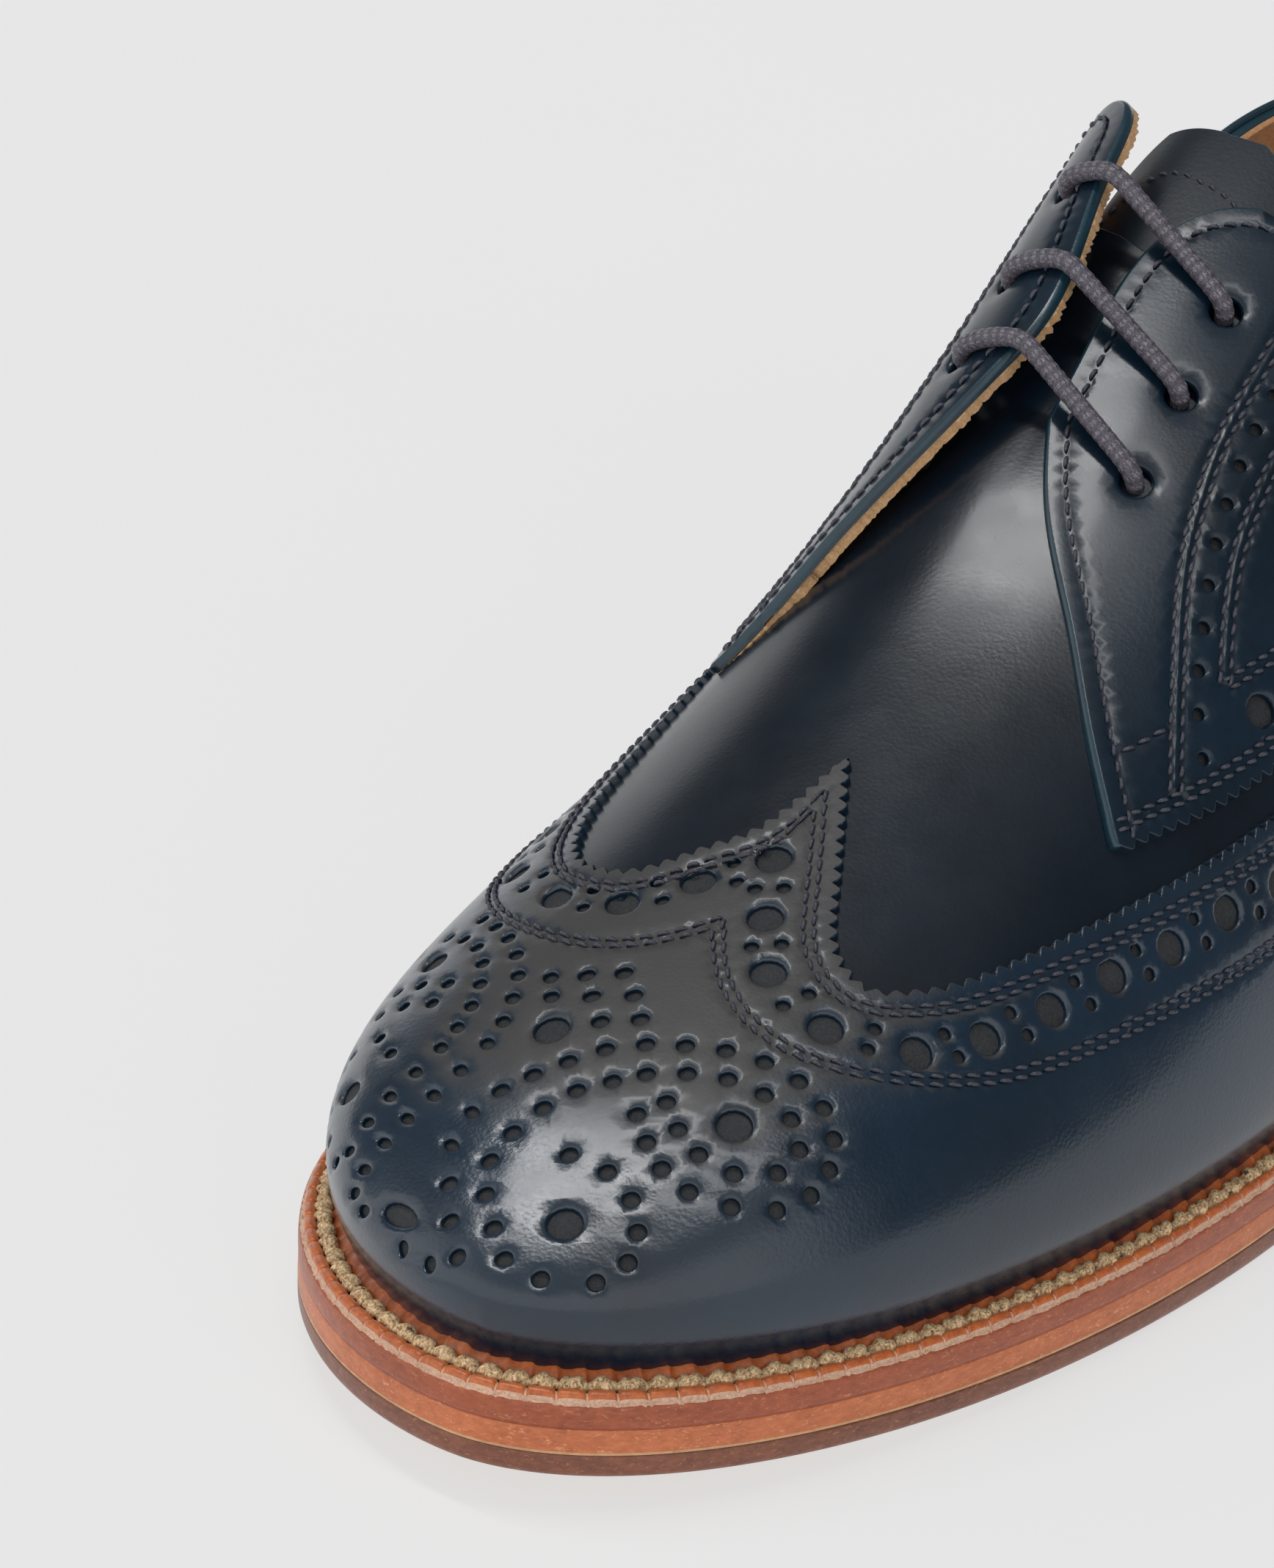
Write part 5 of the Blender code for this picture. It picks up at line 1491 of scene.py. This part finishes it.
def make_welt():
    """A notched outer rib, a groove for the stitching and a wavy inner strip against the upper."""
    count = int(round(sole_length() / WELT_NOTCH))
    shares = np.array([(i + along) / count for i in range(count) for along, _ in NOTCH])
    notch = np.array([depth for _ in range(count) for _, depth in NOTCH])
    loop, outward, back, width = round_the_sole(shares)
    visible = width - WELT_FACE_CLEAR
    wander = np.random.default_rng(7)
    wave = np.repeat(wander.normal(0.0, STRIP_WAVE, count), len(NOTCH))
    for _ in range(len(NOTCH)):
        wave = (np.roll(wave, 1) + 2.0 * wave + np.roll(wave, -1)) / 4.0
    shifted = np.roll(notch, int(len(NOTCH) * STRIP_SHIFT))
    rows = []
    for share, height, kind in WELT_PROFILE:
        inset, rise = visible * share, sole_height(back) + EDGE + height
        if RIB[0] < share < RIB[1]:
            rise = rise - notch * NOTCH_DEPTH
        if STRIP[0] < share < STRIP[1]:
            rise = rise - shifted * NOTCH_DEPTH + wave
        if kind == 1:
            rise = rise + wander.normal(0.0, WELT_ROUGH_UP, len(back))
            inset = inset + wander.normal(0.0, WELT_ROUGH_IN, len(back))
        rows.append(standing(loop - outward * inset[:, None], rise))
    n, m = len(loop), len(rows)
    faces, kinds = [], []
    for r in range(m):
        low, high = r * n, (r + 1) % m * n
        share, _, kind = WELT_PROFILE[r]
        cut = RIB[0] < share < RIB[1]
        for i in range(n):
            after = (i + 1) % n
            faces.append((low + i, low + after, high + after, high + i))
            kinds.append(1 if cut and min(notch[i], notch[after]) > NOTCH_RAW else kind)
    add_mesh("welt_strip", np.concatenate(rows), faces, [TOP_EDGE, WELT_RAW, WELT_TAN],
             ["welt"], None, kinds)


def make_linen():
    """The sole stitching: fat two-ply thread, drawn down between one stitch and the next."""
    loop, outward, back, width = round_the_sole(LINEN_STEP)
    visible = width - WELT_FACE_CLEAR
    travel = np.arange(len(loop)) / len(loop)
    stitches = round(sole_length() / LINEN_PITCH)
    phase = travel * stitches
    swell = np.abs(np.sin(math.pi * phase)) ** LINEN_PINCH
    centre = np.concatenate([loop - outward * (visible * LINEN_SHARE)[:, None],
                             (sole_height(back) + EDGE + LINEN_RISE + LINEN_ARCH * swell)[:, None]], 1)
    around = LINEN_SIDES
    angle = np.arange(around) * 2.0 * math.pi / around
    twist = np.abs(np.cos(angle[None, :] - 2.0 * math.pi * phase[:, None] * LINEN_TWIST))
    thin, fat, ply = LINEN_THICK
    thick = LINEN_RADIUS * (thin + fat * swell[:, None] + ply * twist * swell[:, None])
    across = np.concatenate([outward, np.zeros((len(loop), 1))], 1)
    up = np.array([0.0, 0.0, 1.0])
    points = centre[:, None, :] + across[:, None, :] * (thick * np.cos(angle))[:, :, None]
    points = points + up * (thick * np.sin(angle) * LINEN_FLAT)[:, :, None]
    n = len(loop)
    faces = []
    for i in range(n):
        for k in range(around):
            a, b = i * around + k, i * around + (k + 1) % around
            c, d = (i + 1) % n * around + (k + 1) % around, (i + 1) % n * around + k
            faces.append((a, d, c, b))
    add_mesh("welt_stitching", to_part(points.reshape(-1, 3)), faces, [LINEN_THREAD])


def standing(plan, rise):
    """Plan points at their heights, in the part's frame."""
    return to_part(np.concatenate([plan, rise[:, None]], 1))


def edge_quads(level, count):
    """Quads from one level of the sole's loop up to the next, on its outer and its inner side."""
    low, high = level * 2 * count, (level + 1) * 2 * count
    faces = []
    for i in range(count - 1):
        faces.append((low + i, low + i + 1, high + i + 1, high + i))
        faces.append((low + count + i + 1, low + count + i, high + count + i, high + count + i + 1))
    return faces


def end_quads(levels, count):
    """Quads across the lowest level and across the top one."""
    last = (levels - 1) * 2 * count
    faces = []
    for i in range(count - 1):
        faces.append((i, count + i, count + i + 1, i + 1))
        faces.append((last + i, last + i + 1, last + count + i + 1, last + count + i))
    return faces


def sole_loop(turns, inset, height):
    """The sole's outline drawn in by an inset, at a height above the sole's underside."""
    sides = []
    for side in (OUTER, INNER):
        edge, outward = outline(turns, side)
        back = edge[:, 0]
        draw_in = inset(back, side) if callable(inset) else np.full_like(back, inset)
        plan = edge - outward * draw_in[:, None]
        rise = sole_height(back) + height
        sides.append(standing(plan, rise))
    return sides


def slab(name, turns, profile, finishes, nodes):
    """A closed layer: loops up its edge, (inset, height, finish), ruled across underneath and on top."""
    count = len(turns)
    vertices, faces, kinds = [], [], []
    for inset, height, _ in profile:
        outer, inner = sole_loop(turns, inset, height)
        vertices += list(outer) + list(inner)
    for level in range(len(profile) - 1):
        faces += edge_quads(level, count)
        kinds += [profile[level][2]] * 2 * (count - 1)
    faces += end_quads(len(profile), count)
    kinds += [1] * 2 * (count - 1)
    points = np.array(vertices)
    kept, made, left = weld(points, faces)
    return add_mesh(name, points[kept], made, finishes, nodes, None, [kinds[i] for i in left])


PALE_LINE = 0.42


def make_sole():
    turns = np.linspace(0.0, 1.0, 320)
    low = ((1.6, 0.0, 0), (0.7, 0.06, 0), (0.25, 0.35, 0), (0.03, 0.9, 0), (0.0, 1.7, 0), (0.0, 2.9, 0),
           (0.05, 3.3, 0), (0.4, 3.36, 0))
    slab("outsole_layer", turns, low, [LOW_EDGE, SOLE_FLESH], ["outsole"])
    base, top = LAYER + LAYER_GAP - 0.2, 2.0 * (LAYER + LAYER_GAP) - 0.01
    mid = ((0.4, base, 2), (0.05, base + 0.03, 2), (-0.03, base + 0.12, 2),
           (-0.03, base + PALE_LINE - 0.06, 2), (0.0, base + PALE_LINE, 0), (0.0, base + 1.8, 0),
           (0.0, top - 0.2, 0), (0.08, top - 0.05, 0), (0.6, top, 0))
    slab("midsole_layer", turns, mid, [MID_EDGE, SOLE_FLESH, PALE_EDGE], ["midsole"])

    def inside(extra):
        return lambda back, side: margin(back, side) + WELT_INSIDE + extra
    board = EDGE + INSOLE_PROUD
    sock = ((inside(0.3), EDGE - LAYER + 0.2, 0), (inside(0.3), board - 0.5, 0),
            (inside(0.6), board - 0.1, 0), (inside(1.2), board, 0))
    slab("insole_sock", np.linspace(0.004, 0.996, 160), sock, [SOCK, SOCK], ["insole"])


HEEL_LIFTS, HEEL_GROOVE = 6, 0.22


def make_heel():
    """Stacked lifts under the seat, flat on the floor, with a groove at every joint."""
    turns = np.linspace(turn_at(BREAST_BACK), 1.0, 90)
    levels = []
    for lift_number in range(HEEL_LIFTS):
        for within, groove in ((0.0, 1.0), (0.10, 0.15), (0.5, 0.0), (0.90, 0.15), (1.0, 1.0)):
            levels.append(((lift_number + within) / HEEL_LIFTS, groove * HEEL_GROOVE))
    vertices = []
    for share, groove in levels:
        for side in (OUTER, INNER):
            edge, outward = outline(turns, side)
            inset = HEEL_INSET + HEEL_TAPER * (1.0 - share) + groove
            plan = edge - outward * inset
            plan[0, 0] = edge[0, 0] + HEEL_TAPER * (1.0 - share) + groove
            rise = (sole_height(edge[:, 0]) - 0.05) * share
            vertices += list(standing(plan, rise))
    count = len(turns)
    faces = []
    for level in range(len(levels) - 1):
        low, high = level * 2 * count, (level + 1) * 2 * count
        faces.append((low, high, high + count, low + count))
        faces += edge_quads(level, count)
    faces += end_quads(len(levels), count)
    points = np.array(vertices)
    kept, faces, _ = weld(points, faces)
    add_mesh("heel_stack", points[kept], faces, [HEEL_EDGE], ["heel"])


# Stage

LIGHT_HEIGHT = 1.4
#        name, centre x, y, z, size x, size y, turn about z in degrees, radiance
LIGHTS = (
    ("main_softbox", -0.035, 0.42, LIGHT_HEIGHT, 0.10, 0.86, -9.0, 19.0),
    ("side_softbox", -0.14, -0.31, LIGHT_HEIGHT, 0.09, 0.66, -3.0, 9.0),
)
#             low down, overhead
ROOM_FRONT = (1.10, 0.48)
ROOM_BACK = (0.14, 0.32)
ROOM_SEEN = 0.80
BACK_FILL_AT, BACK_FILL = (0.667, 0.715, 0.208), 0.75
FLOOR_SIZE, FLOOR_PAPER, FLOOR_GLOW = 12.0, 0.20, 0.635


def make_floor():
    mesh = bpy.data.meshes.new("floor")
    half = FLOOR_SIZE / 2.0
    corners = [(-half, -half, 0), (half, -half, 0), (half, half, 0), (-half, half, 0)]
    mesh.from_pydata(corners, [], [(0, 1, 2, 3)])
    paint = Paint("floor_paper")
    colour = paint.blend(paint.noise(60.0, 3.0), (FLOOR_PAPER,) * 3, (FLOOR_PAPER + 0.01,) * 3)
    mesh.materials.append(paint.done(Base_Color=colour, Roughness=0.9, Specular_IOR_Level=0.0,
                                     Emission_Color=(1.0, 1.0, 1.0, 1.0), Emission_Strength=FLOOR_GLOW))
    floor = bpy.data.objects.new("floor", mesh)
    bpy.context.scene.collection.objects.link(floor)


def make_light():
    for name, x, y, z, along, across, turn, radiance in LIGHTS:
        lamp = bpy.data.lights.new(name, "AREA")
        lamp.shape, lamp.size, lamp.size_y = "RECTANGLE", along, across
        lamp.energy = radiance * math.pi * along * across
        light = bpy.data.objects.new(name, lamp)
        light.location, light.rotation_euler = (x, y, z), (0.0, 0.0, math.radians(turn))
        bpy.context.scene.collection.objects.link(light)
    make_room()


def make_room():
    """Pale walls before the toe, a dim ceiling, dark behind with one pale patch, for the leather to mirror."""
    world = bpy.data.worlds.new("studio")
    bpy.context.scene.world = world
    world.use_nodes = True
    tree = world.node_tree
    tree.nodes.clear()

    def add(kind, *values, **settings):
        node = tree.nodes.new(kind)
        for key, value in settings.items():
            setattr(node, key, value)
        for socket, value in zip(node.inputs, values):
            if isinstance(value, bpy.types.NodeSocket):
                tree.links.new(value, socket)
            elif value is not None:
                socket.default_value = value
        return node

    def math_of(operation, *values):
        return add("ShaderNodeMath", *values, operation=operation).outputs[0]

    def ramp(value, start, end):
        node = add("ShaderNodeMapRange", value, start, end, 0.0, 1.0, interpolation_type="SMOOTHSTEP")
        return node.outputs["Result"]
    toward = add("ShaderNodeTexCoord").outputs["Generated"]
    way = add("ShaderNodeSeparateXYZ", toward).outputs
    reach = math_of("SQRT", math_of("ADD", math_of("MULTIPLY", way["X"], way["X"]),
                                    math_of("MULTIPLY", way["Y"], way["Y"])))
    ahead = ramp(math_of("DIVIDE", way["X"], math_of("MAXIMUM", reach, 0.05)), 0.12, -0.12)

    def wall(low, high, start, end):
        return math_of("MULTIPLY_ADD", ramp(way["Z"], start, end), high - low, low)
    front, back = wall(*ROOM_FRONT, 0.55, 0.85), wall(*ROOM_BACK, 0.72, 0.92)
    room = add("ShaderNodeMix", ahead, None, back, front).outputs[0]
    fill = add("ShaderNodeVectorMath", toward, BACK_FILL_AT, operation="DOT_PRODUCT").outputs["Value"]
    room = math_of("MULTIPLY_ADD", ramp(fill, 0.94, 0.985), BACK_FILL, room)
    seen = add("ShaderNodeLightPath").outputs["Is Camera Ray"]
    strength = add("ShaderNodeMix", seen, None, room, ROOM_SEEN)
    shade = add("ShaderNodeBackground", (1.0, 1.0, 1.0, 1.0), strength.outputs[0])
    add("ShaderNodeOutputWorld", shade.outputs[0])


def make_camera():
    lens = bpy.data.cameras.new("photo")
    lens.sensor_fit, lens.sensor_width, lens.lens = "HORIZONTAL", CAMERA_SENSOR, CAMERA_LENS
    lens.clip_start, lens.clip_end = 0.01, 50.0
    camera = bpy.data.objects.new("photo", lens)
    ahead = (Vector(CAMERA_AIM) - Vector(CAMERA_AT)).normalized()
    right = ahead.cross(Vector((0.0, 0.0, 1.0))).normalized()
    up = right.cross(ahead)
    level = Matrix((right, up, -ahead)).transposed().to_4x4()
    roll = Matrix.Rotation(math.radians(CAMERA_ROLL), 4, "Z")
    camera.matrix_world = Matrix.Translation(CAMERA_AT) @ level @ roll
    bpy.context.scene.collection.objects.link(camera)
    bpy.context.scene.camera = camera


make_camera()
make_light()
make_floor()
make_shell("vamp", VAMP_FACE, VAMP_LEATHER, [NAVY, EDGE_BLUE, TAN_LINING, UNDERLAY],
           ["upper"])
make_shell("upper_lining", LINING_FACE, LINING_LEATHER, [TAN_LINING] * 4, [])
make_wing_cap()
make_quarter(OUTER)
make_quarter(INNER)
make_facing_lining(INNER)
make_stay_lining(OUTER)
make_stay_lining(INNER)
make_tongue()
make_lace()
make_welt()
make_linen()
make_sole()
make_heel()
bpy.context.scene.view_settings.view_transform = "Standard"
